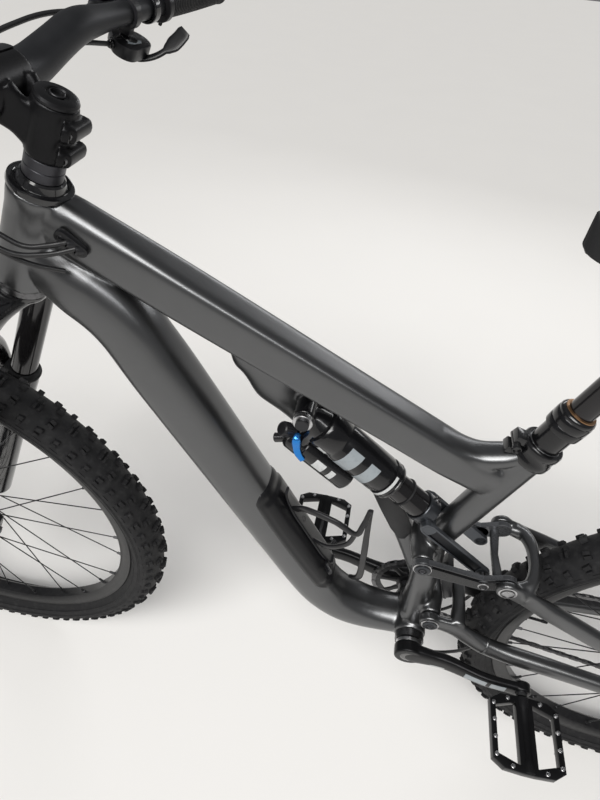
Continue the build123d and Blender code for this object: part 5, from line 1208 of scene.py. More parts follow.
def fork_crown():
    """The crown with its steerer, stanchions and top caps."""
    shape = bmesh.new()
    line = across_bike([steer(8, -70, -146), steer(7, -48, -138), steer(4, -24, -129), steer(2, 0, -127)])
    add_tube(shape, curve_through(line, 10), [(0, 18, 21, 2.6), (0.22, 17, 14, 2.6), (0.5, 22, 8.5, 2.4),
                                              (0.78, 17, 14, 2.6), (1, 18, 21, 2.6)], 40, reference=AHEAD)
    for left in (-LEG_SIDE, LEG_SIDE):
        add_turned(shape, stand(steer(LEG_FORWARD, left, -164.6), STEER_UP, AHEAD),
                   [(0, 21.2), (2, 22.6), (22, 23), (33, 22), (38, 19), (39, 12)], 44)
    add_turned(shape, stand(steer(0, 0, -134), STEER_UP, AHEAD), [(0, 20), (8, 26), (14, 26.5), (15.8, 25)], 44)
    skin = melt(shape, 1.5, 8)
    piece("fork_crown_forged", skin, GLOSS_BLACK, "steering", (), 1.2)
    steerer = bmesh.new()
    add_turned(steerer, stand(steer(0, 0, -120), STEER_UP), [(0, 19), (14, 19), (24, 14.3), (203, 14.3)], 40)
    piece("steerer_tube", steerer, SATIN_BLACK, "steering", ("fork_crown",))
    caps = bmesh.new()
    for left, radius in ((LEG_SIDE, 15), (-LEG_SIDE, 13.5)):
        place = stand(steer(LEG_FORWARD, left, -127), STEER_UP, AHEAD)
        add_turned(caps, place, [(0, radius + 1.5), (1.6, radius + 1), (2.4, radius), (5.4, radius - 0.5),
                                 (6.4, radius - 2)], 36)
        for index in range(16):
            add_box(caps, shifted(spun(place, index, 16), radius - 0.2, 0, 3.6), (1.4, 2.0, 3.4))
    piece("fork_top_caps", caps, SATIN_BLACK, "steering")
    tubes = bmesh.new()
    for left in (-LEG_SIDE, LEG_SIDE):
        add_turned(tubes, stand(steer(LEG_FORWARD, left, -530), STEER_UP), [(0, 17.2), (1, 18), (401, 18)], 64)
    piece("stanchion_tubes", tubes, STANCHION, "steering", ("fork_stanchions",))


def fork_lowers():
    """The cast lowers with their arch, brake posts, axle seats, wipers and foot nuts."""
    shape = bmesh.new()
    for sign in (-1, 1):
        left = sign * LEG_SIDE
        add_turned(shape, stand(steer(LEG_FORWARD, left, -695), STEER_UP),
                   [(0, 14), (3, 18.5), (10, 20.6), (60, 21), (200, 21.6), (300, 22.6), (330, 23.4), (347, 23.4)], 48)
        line = curve_through([steer(12, left, -612), steer(20, left * 0.985, -640), steer(36, left * 0.93, -660),
                              steer(44, left * 0.905, -665)], 8)
        add_tube(shape, line, [(0, 12, 17, 2.4), (0.6, 11, 17, 2.6), (1, 8.5, 15.5, 2.4)], 36)
        add_turned(shape, stand(steer(44, 55.2 if sign > 0 else -71.8, -665.2), LEFT),
                   [(0, 15), (1, 16.4), (15.6, 16.4), (16.6, 15)], 40)
    arch = across_bike([steer(38, -76, -372), steer(43, -74, -350), steer(48, -62, -314), steer(50, -38, -284),
                        steer(50, 0, -272)])
    add_tube(shape, curve_through(arch, 8), [(0, 9, 14, 2.8), (0.16, 8, 13, 2.8), (0.5, 6.5, 10, 2.8),
                                             (0.84, 8, 13, 2.8), (1, 9, 14, 2.8)], 32, reference=AHEAD)
    for sign in (-1, 1):
        add_tube(shape, [steer(20, sign * 72, -360), steer(40, sign * 74, -366)],
                 [(0, 15, 12, 2.6), (1, 11, 13, 2.6)], 32)
    for up in (-585, -640):
        add_tube(shape, [steer(2, 60, up), steer(-20, 58, up), steer(-25, 58, up)],
                 [(0, 6.6, 8, 3), (1, 6, 6.5, 3)], 24)
    skin = melt(shape, 1.8, 8)
    piece("fork_lower_casting", skin, GLOSS_BLACK, "fork_lower", ("fork_lowers",), 1.2)
    seals = bmesh.new()
    for left in (-LEG_SIDE, LEG_SIDE):
        add_turned(seals, stand(steer(LEG_FORWARD, left, -349), STEER_UP),
                   [(0, 22), (0, 24.2), (2.4, 24.6), (4, 24.2), (5, 22.6), (8.5, 21.4), (9.4, 20.2), (9.6, 18.2)], 48)
    piece("fork_wipers", seals, RUBBER, "fork_lower")
    feet = bmesh.new()
    for left in (-LEG_SIDE, LEG_SIDE):
        add_turned(feet, stand(steer(LEG_FORWARD, left, -695.6), STEER_UP), [(0, 8), (1, 9.4), (8, 9.4), (9, 8)], 24)
    piece("fork_foot_nuts", feet, SATIN_BLACK, "fork_lower")


def caliper(name, place, body, replaces):
    """A two-piston brake caliper: two halves bolted together with a finned pad pin and a hose fitting."""
    shape = bmesh.new()
    for side in (-1, 1):
        add_box(shape, shifted(place, 0, 0, side * 9.5), (52, 27, 14), 0.12, 2.6)
        add_turned(shape, shifted(place, 2, 0, side * 9.5)
                   @ (Matrix.Identity(4) if side > 0 else Matrix.Rotation(math.pi, 4, "X")),
                   [(2, 13.6), (6.4, 13.2), (7.6, 11.6), (7.8, 6)], 36)
    add_box(shape, shifted(place, -4, 14, 0), (34, 7, 22), 0.1, 1.6)
    piece(name, shape, SHOCK_BLACK, body, replaces, 0.5)
    small = bmesh.new()
    for along in (-20, 20):
        add_bolt(small, shifted(place, along, 3, 16.2), 4.2, 3.2)
    for along in (-7, 0, 7):
        add_box(small, shifted(place, along, -14.5, 0), (3, 8, 13), 0.0, 0.6)
    piece(f"{name}_hardware", small, STEEL, body, (), 0.5)


fork_crown()
fork_lowers()
caliper("front_caliper_body", stand(steer(-35, 43.5, -612), LEFT, STEER_UP), "fork_lower", ("front_caliper",))
caliper("rear_caliper_body", stand(spot(-391, 105, 57.5), LEFT, Vector((1, 0, 0.72))), "seatstay", ("rear_caliper",))

# ---------------------------------------------------------------- cockpit
BEND_SIDE = 115.0
BACK_SWEEP, UP_SWEEP = math.tan(math.radians(8)), math.tan(math.radians(5))


def bar_point(left, lift=0.0, ahead=0.0):
    """A place on the handlebar's straight outer part, or beside it."""
    out = abs(left) - BEND_SIDE
    return steer(47 - out * BACK_SWEEP + ahead, left, 97 + out * UP_SWEEP + lift)


def bar_way(sign):
    """The direction of one end of the handlebar, outwards."""
    return (bar_point(sign * 300) - bar_point(sign * 200)).normalized()


def handlebar():
    """A riser bar that tapers from its clamp, with trim marks."""
    shape = bmesh.new()
    points = [bar_point(-400), bar_point(-BEND_SIDE), steer(50, -48, 69), steer(50, 48, 69), bar_point(BEND_SIDE),
              bar_point(400)]
    line = spread(rounded(points, [95, 80, 80, 95], 14), 8)
    rings = []
    for index, centre in enumerate(line):
        before, after = line[max(index - 1, 0)], line[min(index + 1, len(line) - 1)]
        tangent = (after - before).normalized()
        across = (AHEAD - tangent * AHEAD.dot(tangent)).normalized()
        out = abs(centre.y) / MM
        radius = ease([(0, 17.5), (40, 17.5), (100, 15.8), (178, 11.1), (400, 11.1)], out)[0]
        rings.append(oval(centre, across, tangent.cross(across), radius, radius, 2.0, 44))
    add_rings(shape, rings)
    piece("handlebar_tube", shape, BAR_GREY, "steering", ("handlebar",))
    marks = bmesh.new()
    for sign in (-1, 1):
        way = (bar_point(sign * 150) - bar_point(sign * 130)).normalized()
        zero = (STEER_UP - way * STEER_UP.dot(way)).normalized()
        for along in (0, 4, 8):
            wrapped_patch(marks, bar_point(sign * 131), way, zero, 13.2 - along * 0.055,
                          [(along, -34), (along + 1.2, -34), (along + 1.2, -12), (along, -12)], 0.5, 3)
    piece("handlebar_cut_marks", marks, GRAPHIC_PALE, "steering")


def stem():
    """The stem, its faceplate and its bolts."""
    shape = bmesh.new()
    add_turned(shape, stand(steer(0, 0, 34.2), STEER_UP, AHEAD), [(0, 18.2), (2, 19.2), (8, 19.6), (40, 19.6), (48, 19),
                                                                  (49.6, 18.2)], 48)
    for side in (-1, 1):
        line = [steer(6, side * 9, 58), steer(26, side * 14, 63), steer(38, side * 17, 68)]
        add_tube(shape, curve_through(line, 6), [(0, 7, 22, 3.0), (0.5, 6, 17, 3.0), (1, 7.5, 20, 3.0)], 28)
    add_tube(shape, [steer(8, 0, 52), steer(40, 0, 60)], [(0, 13, 10, 3.0), (1, 18, 9, 3.0)], 28)
    add_turned(shape, stand(steer(50, -26, 69), LEFT, AHEAD), [(0, 20.5), (1.4, 21.9), (50.6, 21.9), (52, 20.5)], 52)
    for up, side in ((47, -1), (70, 1)):
        add_tube(shape, [steer(-16, 15, up), steer(-22, 13, up)], [(0, 8, 8.6, 2.4), (1, 7, 7.6, 2.4)], 24,
                 reference=LEFT)
        add_tube(shape, [steer(-21, -15, up), steer(-21, 15, up)], [(0, 6.6, 7.4, 2.6), (0.5, 5.8, 6.8, 2.6),
                                                                    (1, 6.6, 7.4, 2.6)], 28, reference=AHEAD)
    skin = melt(shape, 1.3, 5)
    cut = [face for face in skin.faces if (face.calc_center_median() - steer(50.5, 0, 69)).dot(AHEAD) > 0]
    bmesh.ops.delete(skin, geom=cut, context="FACES")
    piece("stem_forged", skin, SATIN_BLACK, "steering", ("stem",), 1.0)
    face = bmesh.new()
    base = steer(50.8, 0, 69)

    def band(start, sweep, steps, low, high, reach):
        """A curved bar round the clamp, from one angle through a sweep, between two places across the bike."""
        rings = []
        for index in range(steps + 1):
            angle = math.radians(start + sweep * index / steps)
            out = AHEAD * math.cos(angle) + STEER_UP * math.sin(angle)
            rings.append([base + (out * 17.7 + LEFT * low) * MM, base + (out * reach + LEFT * (low + 0.6)) * MM,
                          base + (out * reach + LEFT * (high - 0.6)) * MM, base + (out * 17.7 + LEFT * high) * MM])
        add_rings(face, rings)

    for low, high in ((-26, -15), (-7, 7), (15, 26)):
        band(-86, 172, 24, low, high, 22.2)
    for sign in (-1, 1):
        band(sign * 50, sign * 36, 8, -26, 26, 22.4)
    piece("stem_faceplate_cast", face, SATIN_BLACK, "steering", ("stem_faceplate",), 0.6)
    spots = [(steer(64, side * 19, 69 + up * 16), AHEAD, 3.6, 3.0) for side in (-1, 1) for up in (-1, 1)]
    spots += [(steer(-21, 14.6, 47), LEFT, 4.4, 3.4), (steer(-21, -14.6, 70), -LEFT, 4.4, 3.4),
              (steer(-21, 14.6, 70), LEFT, 4.0, 2.4)]
    bolt_piece("stem_bolts", spots, STEEL, "steering")


def headset():
    """Headset cover, spacers and top cap."""
    shape = bmesh.new()
    axis = stand(STEER_TOP, STEER_UP, AHEAD)
    add_turned(shape, axis, [(0.4, 27), (0.6, 29.4), (3.2, 29.6), (6.4, 28.8), (7.2, 26.8), (7.0, 24.0), (6.2, 22.8),
                             (8.4, 21.6), (12, 20.4), (13.6, 18.6), (13.8, 14.4), (0.4, 14.4)], 72, closed=True)
    piece("headset_cover", shape, GLOSS_BLACK, "steering", ("headset_spacers",), 0.5)
    rings = bmesh.new()
    for low, high in ((13.9, 23.8), (24.0, 34.0)):
        add_turned(rings, axis, [(low, 14.4), (low, 17.4), (low + 0.5, 17.9), (high - 0.5, 17.9), (high, 17.4),
                                 (high, 14.4)], 64, closed=True)
    piece("stem_spacers", rings, SPACER_GREY, "steering", (), 0.5)
    cap = bmesh.new()
    add_turned(cap, axis, [(84, 17.0), (84.2, 18.2), (86.2, 18.4), (88.4, 17.4), (89.8, 14.4), (89.6, 9.5), (88.0, 8.6),
                           (87.8, 2)], 64)
    add_bolt(cap, stand(steer(0, 0, 87.6), STEER_UP), 6.6, 2.6)
    piece("stem_top_cap", cap, SATIN_BLACK, "steering", (), 0.5)


def grips():
    """Ribbed grips with inner clamp collars."""
    rubber, collars = bmesh.new(), bmesh.new()
    for sign in (-1, 1):
        start, way = bar_point(sign * 266), bar_way(sign)
        place = stand(start, way, AHEAD)
        profile = [(0, 11.4)]
        length = (bar_point(sign * 400) - start).length / MM
        count = 34
        for index in range(count):
            low = 2 + (length - 8) * index / count
            pitch = (length - 8) / count
            swell = 15.0 + 0.5 * math.sin(math.pi * index / count)
            profile += [(low, swell - 0.9), (low + pitch * 0.2, swell), (low + pitch * 0.65, swell),
                        (low + pitch * 0.82, swell - 0.9)]
        profile += [(length - 5, 15.4), (length - 1, 16.0), (length + 1, 15.2), (length + 1.6, 10)]
        add_turned(rubber, place, profile, 40)
        collar = stand(bar_point(sign * 257), way, AHEAD)
        add_turned(collars, collar, [(0, 11.3), (0, 16.6), (1, 17.6), (8.4, 17.6), (9.4, 16.6), (9.4, 11.3)], 44,
                   closed=True)
        add_box(collars, shifted(collar, -3, 16.6, 4.7), (13, 6, 8.6), 0.1, 1.4)
        add_bolt(collars, stand(bar_point(sign * 261.6) + (AHEAD * -6 - STEER_UP * 17) * MM, -AHEAD),
                 2.6, 2.4)
    piece("grip_sleeves", rubber, RUBBER, "steering", ("handlebar_grips",), 0.5)
    piece("grip_collars", collars, SATIN_BLACK, "steering", (), 0.5)


def brakes():
    """Brake master cylinders, their hardware and both levers."""
    bodies, hardware = bmesh.new(), bmesh.new()
    for sign in (-1, 1):
        way = bar_way(sign)
        core = bmesh.new()
        line = curve_through([bar_point(sign * 176, -10, 26), bar_point(sign * 190, -10, 26.5),
                              bar_point(sign * 224, -11, 29), bar_point(sign * 250, -13, 33)], 8)
        add_tube(core, line, [(0, 5, 5, 2), (0.12, 6, 6, 2), (0.2, 9.8, 9.4, 2.4), (0.8, 10.4, 10.4, 2.6),
                              (1, 7.5, 8.5, 2.6)], 32, reference=AHEAD)
        line = curve_through([bar_point(sign * 238, -12, 30), bar_point(sign * 254, -14, 38),
                              bar_point(sign * 262, -16, 43.5)], 6)
        add_tube(core, line, [(0, 8.5, 9, 2.6), (0.6, 7, 9.5, 2.8), (1, 6, 8.8, 2.6)], 28, reference=STEER_UP)
        add_tube(core, [bar_point(sign * 236, -2, 8), bar_point(sign * 236, -10, 26)],
                 [(0, 7, 8, 2.6), (1, 7, 9, 2.6)], 24)
        add_turned(core, stand(bar_point(sign * 230.4), way, AHEAD), [(0, 11.4), (0, 14.8), (1, 15.4), (10.6, 15.4),
                                                                      (11.6, 14.8), (11.6, 11.4)], 40, closed=True)
        skin = melt(core, 1.0, 4)
        mesh = bpy.data.meshes.new("part")
        skin.to_mesh(mesh)
        skin.free()
        bodies.from_mesh(mesh)
        bpy.data.meshes.remove(mesh)
        lid = stand(bar_point(sign * 214, -2.2, 28), (STEER_UP * 0.96 + AHEAD * 0.28).normalized(), way)
        add_plate(hardware, lid, hull([(-16, 0, 7), (16, 0, 8)], 28), 0, 2.4, 0.5)
        for along in (-15, 15):
            add_bolt(hardware, shifted(lid, along, 0, 2.2), 2.2, 0.9)
        add_bolt(hardware, stand(bar_point(sign * 236, 6.6, 14.5), STEER_UP), 3.4, 3.0)
        add_bolt(hardware, stand(bar_point(sign * 262, -6.6, 44), STEER_UP), 4.6, 1.6)
        add_turned(hardware, stand(bar_point(sign * 178, -10, 26), -way), [(0, 4.6), (4, 4.6), (4.4, 4.0), (9, 3.6),
                                                                         (12, 3.0)], 18)
    piece("brake_master_bodies", bodies, SHOCK_BLACK, "steering", ("brake_bodies",), 1.0)
    piece("brake_hardware", hardware, SATIN_BLACK, "steering", (), 0.5)
    for sign, name in ((1, "left"), (-1, "right")):
        lever = bmesh.new()
        line = curve_through([bar_point(sign * 262, -16, 44), bar_point(sign * 272, -17, 50),
                              bar_point(sign * 290, -19, 56), bar_point(sign * 316, -21, 56),
                              bar_point(sign * 340, -22, 55), bar_point(sign * 350, -22, 56.5),
                              bar_point(sign * 355, -22, 58)], 8)
        add_tube(lever, line, [(0, 6.4, 5.6, 2.4), (0.12, 5, 5.4, 2.8), (0.3, 3.6, 5.6, 3.0), (0.9, 3.4, 5.4, 3.0),
                               (1, 3.6, 4.2, 2.2)], 28, reference=AHEAD)
        add_turned(lever, stand(bar_point(sign * 262, -22, 44), STEER_UP),
                   [(0, 5.4), (0.8, 6.4), (11.2, 6.4), (12, 5.4)], 28)
        piece(f"brake_blade_{name}", lever, LINK_BLACK, f"brake_lever_{name}",
              (f"brake_lever_{name}",), 0.6)


def triggers():
    """The shifter on the right and the dropper remote on the left, with their paddles."""
    shape, trim = bmesh.new(), bmesh.new()
    for sign in (-1, 1):
        way = bar_way(sign)
        big = 1.25 if sign < 0 else 0.75
        add_turned(shape, stand(bar_point(sign * 195), way, AHEAD), [(0, 11.3), (0, 14.4), (0.8, 15), (9.2, 15),
                                                                     (10, 14.4), (10, 11.3)], 40, closed=True)
        add_box(shape, stand(bar_point(sign * 200, -13, -3), STEER_UP, way), (10, 13, 12), 0.0, 2)
        core = stand(bar_point(sign * 199, -28, -8), STEER_UP, way)
        add_plate(shape, core, hull([(-10 * big * sign, -2, 13 * big), (10 * big * sign, -6, 11 * big),
                                     (2, 9 * big, 9 * big)], 24), -6.6, 6.6, 1.4)
        add_plate(trim, core, hull([(-6 * big, 0, 8 * big), (7 * big, -2, 6 * big)], 24), -7.8, -6.2, 0.4)
        add_turned(trim, shifted(core, 0, 0, 6.4), [(0, 8 * big), (1.2, 7.4 * big), (1.6, 4)], 28)
        nose = stand(bar_point(sign * 186, -26, -4), -way)
        add_turned(trim, nose, [(-6, 6), (0, 6.4), (4, 6.4), (5, 5), (12, 4.4), (13, 3.2), (15, 2.8)], 24)
        for index in range(10):
            add_box(trim, shifted(spun(nose, index, 10), 6.2, 0, 2), (1.2, 1.4, 5))
    piece("trigger_bodies", shape, PLASTIC, "steering", ("trigger_housings",), 0.5)
    piece("trigger_trim", trim, SHOCK_BLACK, "steering", (), 0.5)
    mark = bmesh.new()
    core = stand(bar_point(-199, -21.3, -8), STEER_UP, bar_way(-1))
    add_plate(mark, core, [(-14, -8), (-6, -11), (8, -11), (12, -8), (10, -6), (-10, -5)], 0, 0.25, 0)
    piece("trigger_print", mark, GRAPHIC_GREY, "steering")
    for sign, name, body in ((-1, "shifter_blade", "shifter_paddle"), (1, "dropper_blade", "dropper_paddle")):
        blade = bmesh.new()
        line = curve_through([bar_point(sign * 200, -36.5, -8), bar_point(sign * 204, -36.5, -22),
                              bar_point(sign * 212, -26, -36), bar_point(sign * 221, -8, -46),
                              bar_point(sign * 227, 6, -50)], 8)
        add_tube(blade, line, [(0, 5.6, 1.8, 3.0), (0.3, 3.6, 1.9, 3.0), (0.58, 3.4, 2.0, 3.0), (0.66, 7.0, 2.0, 3.4),
                               (0.74, 9.4, 2.0, 3.4), (0.95, 9.0, 1.8, 3.4), (1, 7.2, 1.4, 3.0)], 28,
                 reference=bar_way(sign) * 0.45 + AHEAD * 0.9)
        add_turned(blade, stand(bar_point(sign * 200, -38.4, -8), STEER_UP), [(0, 5.6), (0.6, 6.6), (5.6, 6.6),
                                                                             (6.2, 5.6)], 28)
        piece(name, blade, PLASTIC, body, (body,), 0.5)


handlebar()
stem()
headset()
grips()
brakes()
triggers()

# ---------------------------------------------------------------- drivetrain
LINK = 12.7
RING_TEETH, CHAIN_COG, PULLEY_TEETH = 32, 21, 12
CRANK_LENGTH = 170.0


def pitch_radius(teeth):
    """The radius at which a chain lies on a toothed wheel."""
    return LINK / (2 * math.sin(math.pi / teeth))


def tooth_ring(radius, teeth, deep, steps=6):
    """The outline of a toothed wheel round its own middle."""
    points = []
    for index in range(teeth * steps):
        angle = math.tau * index / (teeth * steps)
        phase = (index % steps) / steps
        lift = max(0.0, math.cos((phase - 0.5) * math.tau)) ** 0.8
        points.append((math.cos(angle), math.sin(angle), radius - deep + deep * 1.7 * lift))
    return [(x * r, y * r) for x, y, r in points]


def add_wheel(shape, place, teeth, deep, low, high, inner):
    """A toothed ring with an open middle, its faces at low and high."""
    outer = tooth_ring(pitch_radius(teeth), teeth, deep)
    hole = [(x * inner / math.hypot(x, y), y * inner / math.hypot(x, y)) for x, y in outer]
    rings = [hole, outer, outer, hole]
    heights = (low, low + 0.3, high - 0.3, high)
    rows = [[shape.verts.new(place @ Vector((x * MM, y * MM, h * MM))) for x, y in ring]
            for ring, h in zip(rings, heights)]
    count = len(outer)
    for row, following in zip(rows, rows[1:] + rows[:1]):
        for index in range(count):
            after = (index + 1) % count
            shape.faces.new((row[index], row[after], following[after], following[index]))


def pedal_middle(side):
    """The centre of a pedal's platform."""
    x, y, z = JOINTS[f"pedal_{side}_spin"]["pos_m"]
    return Vector((x, (142 if side == "left" else -142) * MM, z))


def crank_arm(shape, side):
    """Draw one crank arm, and return its direction."""
    sign = 1 if side == "left" else -1
    way = pedal_middle(side) - CRANK
    way.y = 0
    way.normalize()
    line = curve_through([CRANK + (way * along + LEFT * sign * out) * MM
                          for along, out in ((-12, 63), (20, 64), (60, 66), (112, 77), (150, 79), (178, 79))], 8)
    add_tube(shape, line, [(0, 8.6, 17, 3.2), (0.1, 8.8, 20, 3.4), (0.3, 8, 15.5, 3.4), (0.62, 6.8, 13.4, 3.4),
                           (0.92, 6.6, 13.2, 3.4), (1, 5.4, 9, 2.6)], 40)
    for distance, low, high, radius in ((0, 54.2, 71.9, 21.8), (CRANK_LENGTH, 71.2, 85.9, 13.8)):
        centre = CRANK + (way * distance + LEFT * sign * low) * MM
        add_turned(shape, stand(centre, LEFT * sign), [(0, radius - 1), (1, radius), (high - low - 1.2, radius),
                                                       (high - low, radius - 1.2)], 48)
    return way


def cranks():
    """Both crank arms, the spindle, end caps, preload collar and plain graphics."""
    shape = bmesh.new()
    ways = {side: crank_arm(shape, side) for side in ("left", "right")}
    skin = melt(shape, 1.3, 5)
    piece("crank_arm_pair", skin, SATIN_BLACK, "crankset", ("crank_arms",), 1.0)
    spindle = bmesh.new()
    add_turned(spindle, stand(spot(0, 0, -53.8), LEFT), [(0, 14.4), (107.6, 14.4)], 40)
    piece("crank_spindle", spindle, STEEL, "crankset")
    trim = bmesh.new()
    for sign in (-1, 1):
        place = stand(spot(0, 0, sign * 70.6), LEFT * sign)
        add_turned(trim, place, [(0, 13.5), (0.9, 13.3), (1.3, 12.4), (1.3, 9.4)], 40)
    piece("crank_end_caps", trim, GLOSS_BLACK, "crankset", (), 0.5)
    collar = bmesh.new()
    add_turned(collar, stand(spot(0, 0, 48.2), LEFT),
               [(0, 15), (0, 19.2), (0.6, 19.8), (4.4, 19.8), (5, 19.2), (5, 15)], 52, closed=True)
    piece("crank_preload_collar", collar, SILVER, "crankset", (), 0.5)
    light, grey = bmesh.new(), bmesh.new()
    way = ways["left"]
    upright = Vector((-way.z, 0, way.x))
    if upright.z > 0:
        upright = -upright
    face = Matrix((way, upright, way.cross(upright))).transposed().to_4x4()
    base = Matrix.Translation(CRANK + LEFT * 73.2 * MM) @ face
    outward = 1 if (way.cross(upright)).y > 0 else -1
    add_plate(light, base, [(34, 9), (36, 7.4), (62, 5.4), (62, 7.4)], outward * -0.9, outward * 0.2, 0)
    for outline in ([(86, -6), (118, -6), (118, 6), (86, 6)], [(124, -6), (146, -6), (146, 6), (124, 6)]):
        rise = []
        for along, across in outline:
            out = ease([(60, 74.3), (112, 84.2), (150, 86.0), (178, 86.0)], along)[0]
            rise.append(CRANK + (way * along + upright * across + LEFT * out) * MM)
        low = [grey.verts.new(point - LEFT * 1.4 * MM) for point in rise]
        high = [grey.verts.new(point + LEFT * 0.5 * MM) for point in rise]
        grey.faces.new(high)
        for index in range(len(rise)):
            after = (index + 1) % len(rise)
            grey.faces.new((low[index], low[after], high[after], high[index]))
    piece("crank_stripe", light, GRAPHIC_PALE, "crankset")
    piece("crank_graphic", grey, GRAPHIC_GREY, "crankset")


def chainring():
    """A toothed ring on eight arms."""
    shape = bmesh.new()
    place = stand(spot(0, 0, -53.8), LEFT, AHEAD)
    add_wheel(shape, place, RING_TEETH, 3.6, 0, 3.6, 53)
    for index in range(8):
        angle = math.tau * index / 8
        out = radial(angle)
        line = [spot(0, 0, -54) + out * 22 * MM, spot(0, 0, -52.6) + out * 40 * MM, spot(0, 0, -52) + out * 56 * MM]
        add_tube(shape, line, [(0, 2.2, 6.5, 4), (0.5, 1.8, 4.2, 4), (1, 1.6, 6, 4)], 16)
    add_turned(shape, place, [(-1.2, 14.6), (-1.2, 25), (-0.4, 26), (3, 26), (3.6, 25), (3.6, 14.6)], 48, closed=True)
    piece("chainring_toothed", shape, SATIN_BLACK, "crankset", ("chainring",), 0.5)


def pedal(side):
    """A platform pedal: a windowed body, its barrel and its pins."""
    sign = 1 if side == "left" else -1
    middle = pedal_middle(side)
    turn = Matrix.Translation(middle)
    body = bmesh.new()
    outline = [(-49, -38), (-34, -48), (-9, -49.5), (9, -49.5), (34, -48), (49, -38),
               (49, 38), (34, 48), (9, 49.5), (-9, 49.5), (-34, 48), (-49, 38)]
    windows = []
    for forward in (-27, 27):
        edge = forward + (14 if forward > 0 else -14)
        near = forward - (15 if forward > 0 else -15)
        windows.append([(near, -40), (edge, -31), (edge, 31), (near, 40)])
    loops = [outline] + windows
    for thick in (-6.4, 6.4):
        made = []
        for loop in loops:
            verts = [body.verts.new(turn @ Vector((x * MM, y * MM, thick * MM))) for x, y in loop]
            made += [body.edges.new((verts[i], verts[(i + 1) % len(verts)])) for i in range(len(verts))]
        bmesh.ops.triangle_fill(body, edges=made, use_beauty=True)
    body.verts.ensure_lookup_table()
    half = len(body.verts) // 2
    start = 0
    for loop in loops:
        count = len(loop)
        for i in range(count):
            j = (i + 1) % count
            body.faces.new((body.verts[start + i], body.verts[start + j], body.verts[half + start + j],
                            body.verts[half + start + i]))
        start += count
    bmesh.ops.recalc_face_normals(body, faces=body.faces)
    rims = [edge for edge in body.edges if len(edge.link_faces) == 2 and edge.calc_face_angle(0) > 1.2]
    bmesh.ops.bevel(body, geom=rims, offset=1.1 * MM, segments=2, profile=0.6, affect="EDGES")
    piece(f"pedal_body_{side}", body, SATIN_BLACK, f"pedal_{side}", (f"pedal_{side}",), 0.5)
    core = bmesh.new()
    place = stand(middle - LEFT * sign * 50 * MM, LEFT * sign, AHEAD)
    add_turned(core, place, [(0, 8), (1, 9.6), (16, 9.6), (18, 8.6), (80, 8.4), (83, 9.4), (97, 9.4), (98.5, 8)], 36)
    add_turned(core, place, [(28, 7), (29, 8), (33, 8), (34, 7)], 36)
    piece(f"pedal_barrel_{side}", core, SATIN_BLACK, f"pedal_{side}", (), 0.5)
    pins = bmesh.new()
    for x, y in [(x, y) for x in (-44, 44) for y in (-33, -11, 11, 33)] + [(-23, -43.5), (23, -43.5), (-23, 43.5),
                                                                            (23, 43.5)]:
        for up in (-1, 1):
            at = stand(middle + Vector((x, y, up * 6.2)) * MM, UP * up)
            add_turned(pins, at, [(0, 3.0), (1.4, 2.9), (1.7, 2.1), (4.4, 2.0), (4.8, 1.6)], 12)
    piece(f"pedal_pins_{side}", pins, SILVER, f"pedal_{side}", (), 0.5)


def cassette():
    """Twelve cogs on a carrier."""
    shape = bmesh.new()
    teeth_list = (51, 45, 39, 33, 28, 24, 21, 18, 16, 14, 12, 10)
    for index, teeth in enumerate(teeth_list):
        place = stand(spot(*REAR_PLACE, -26.6 - 3.7 * index - 1.7), LEFT, AHEAD)
        radius = pitch_radius(teeth)
        add_wheel(shape, place, teeth, 2.6, 0, 1.7, max(radius - 12, 15.6 if teeth > 12 else 10.5))
    for index in range(6):
        angle = math.tau * index / 6
        for row in range(5):
            far = pitch_radius(teeth_list[row]) - 11
            out = radial(angle + 0.1 * row)
            origin = spot(*REAR_PLACE, -27.5 - 3.7 * row)
            add_tube(shape, [origin + out * 17 * MM, origin + out * far * MM], [(0, 0.8, 4.6, 4), (1, 0.8, 3.2, 4)], 12)
    add_turned(shape, stand(spot(*REAR_PLACE, -68.6), LEFT, AHEAD), [(0, 10.8), (0, 15.8), (41.5, 17.2), (41.5, 12)],
               48, closed=True)
    piece("cassette_cogs", shape, STEEL, "cassette", ("cassette",), 0.5)


GUIDE, TENSION = (-446.0, -48.0), (-414.0, -124.0)
HANGER = (-462.0, 8.0)
CAGE_PIVOT = (-452.0, -36.0)
CHAIN_SIDE = -52.2


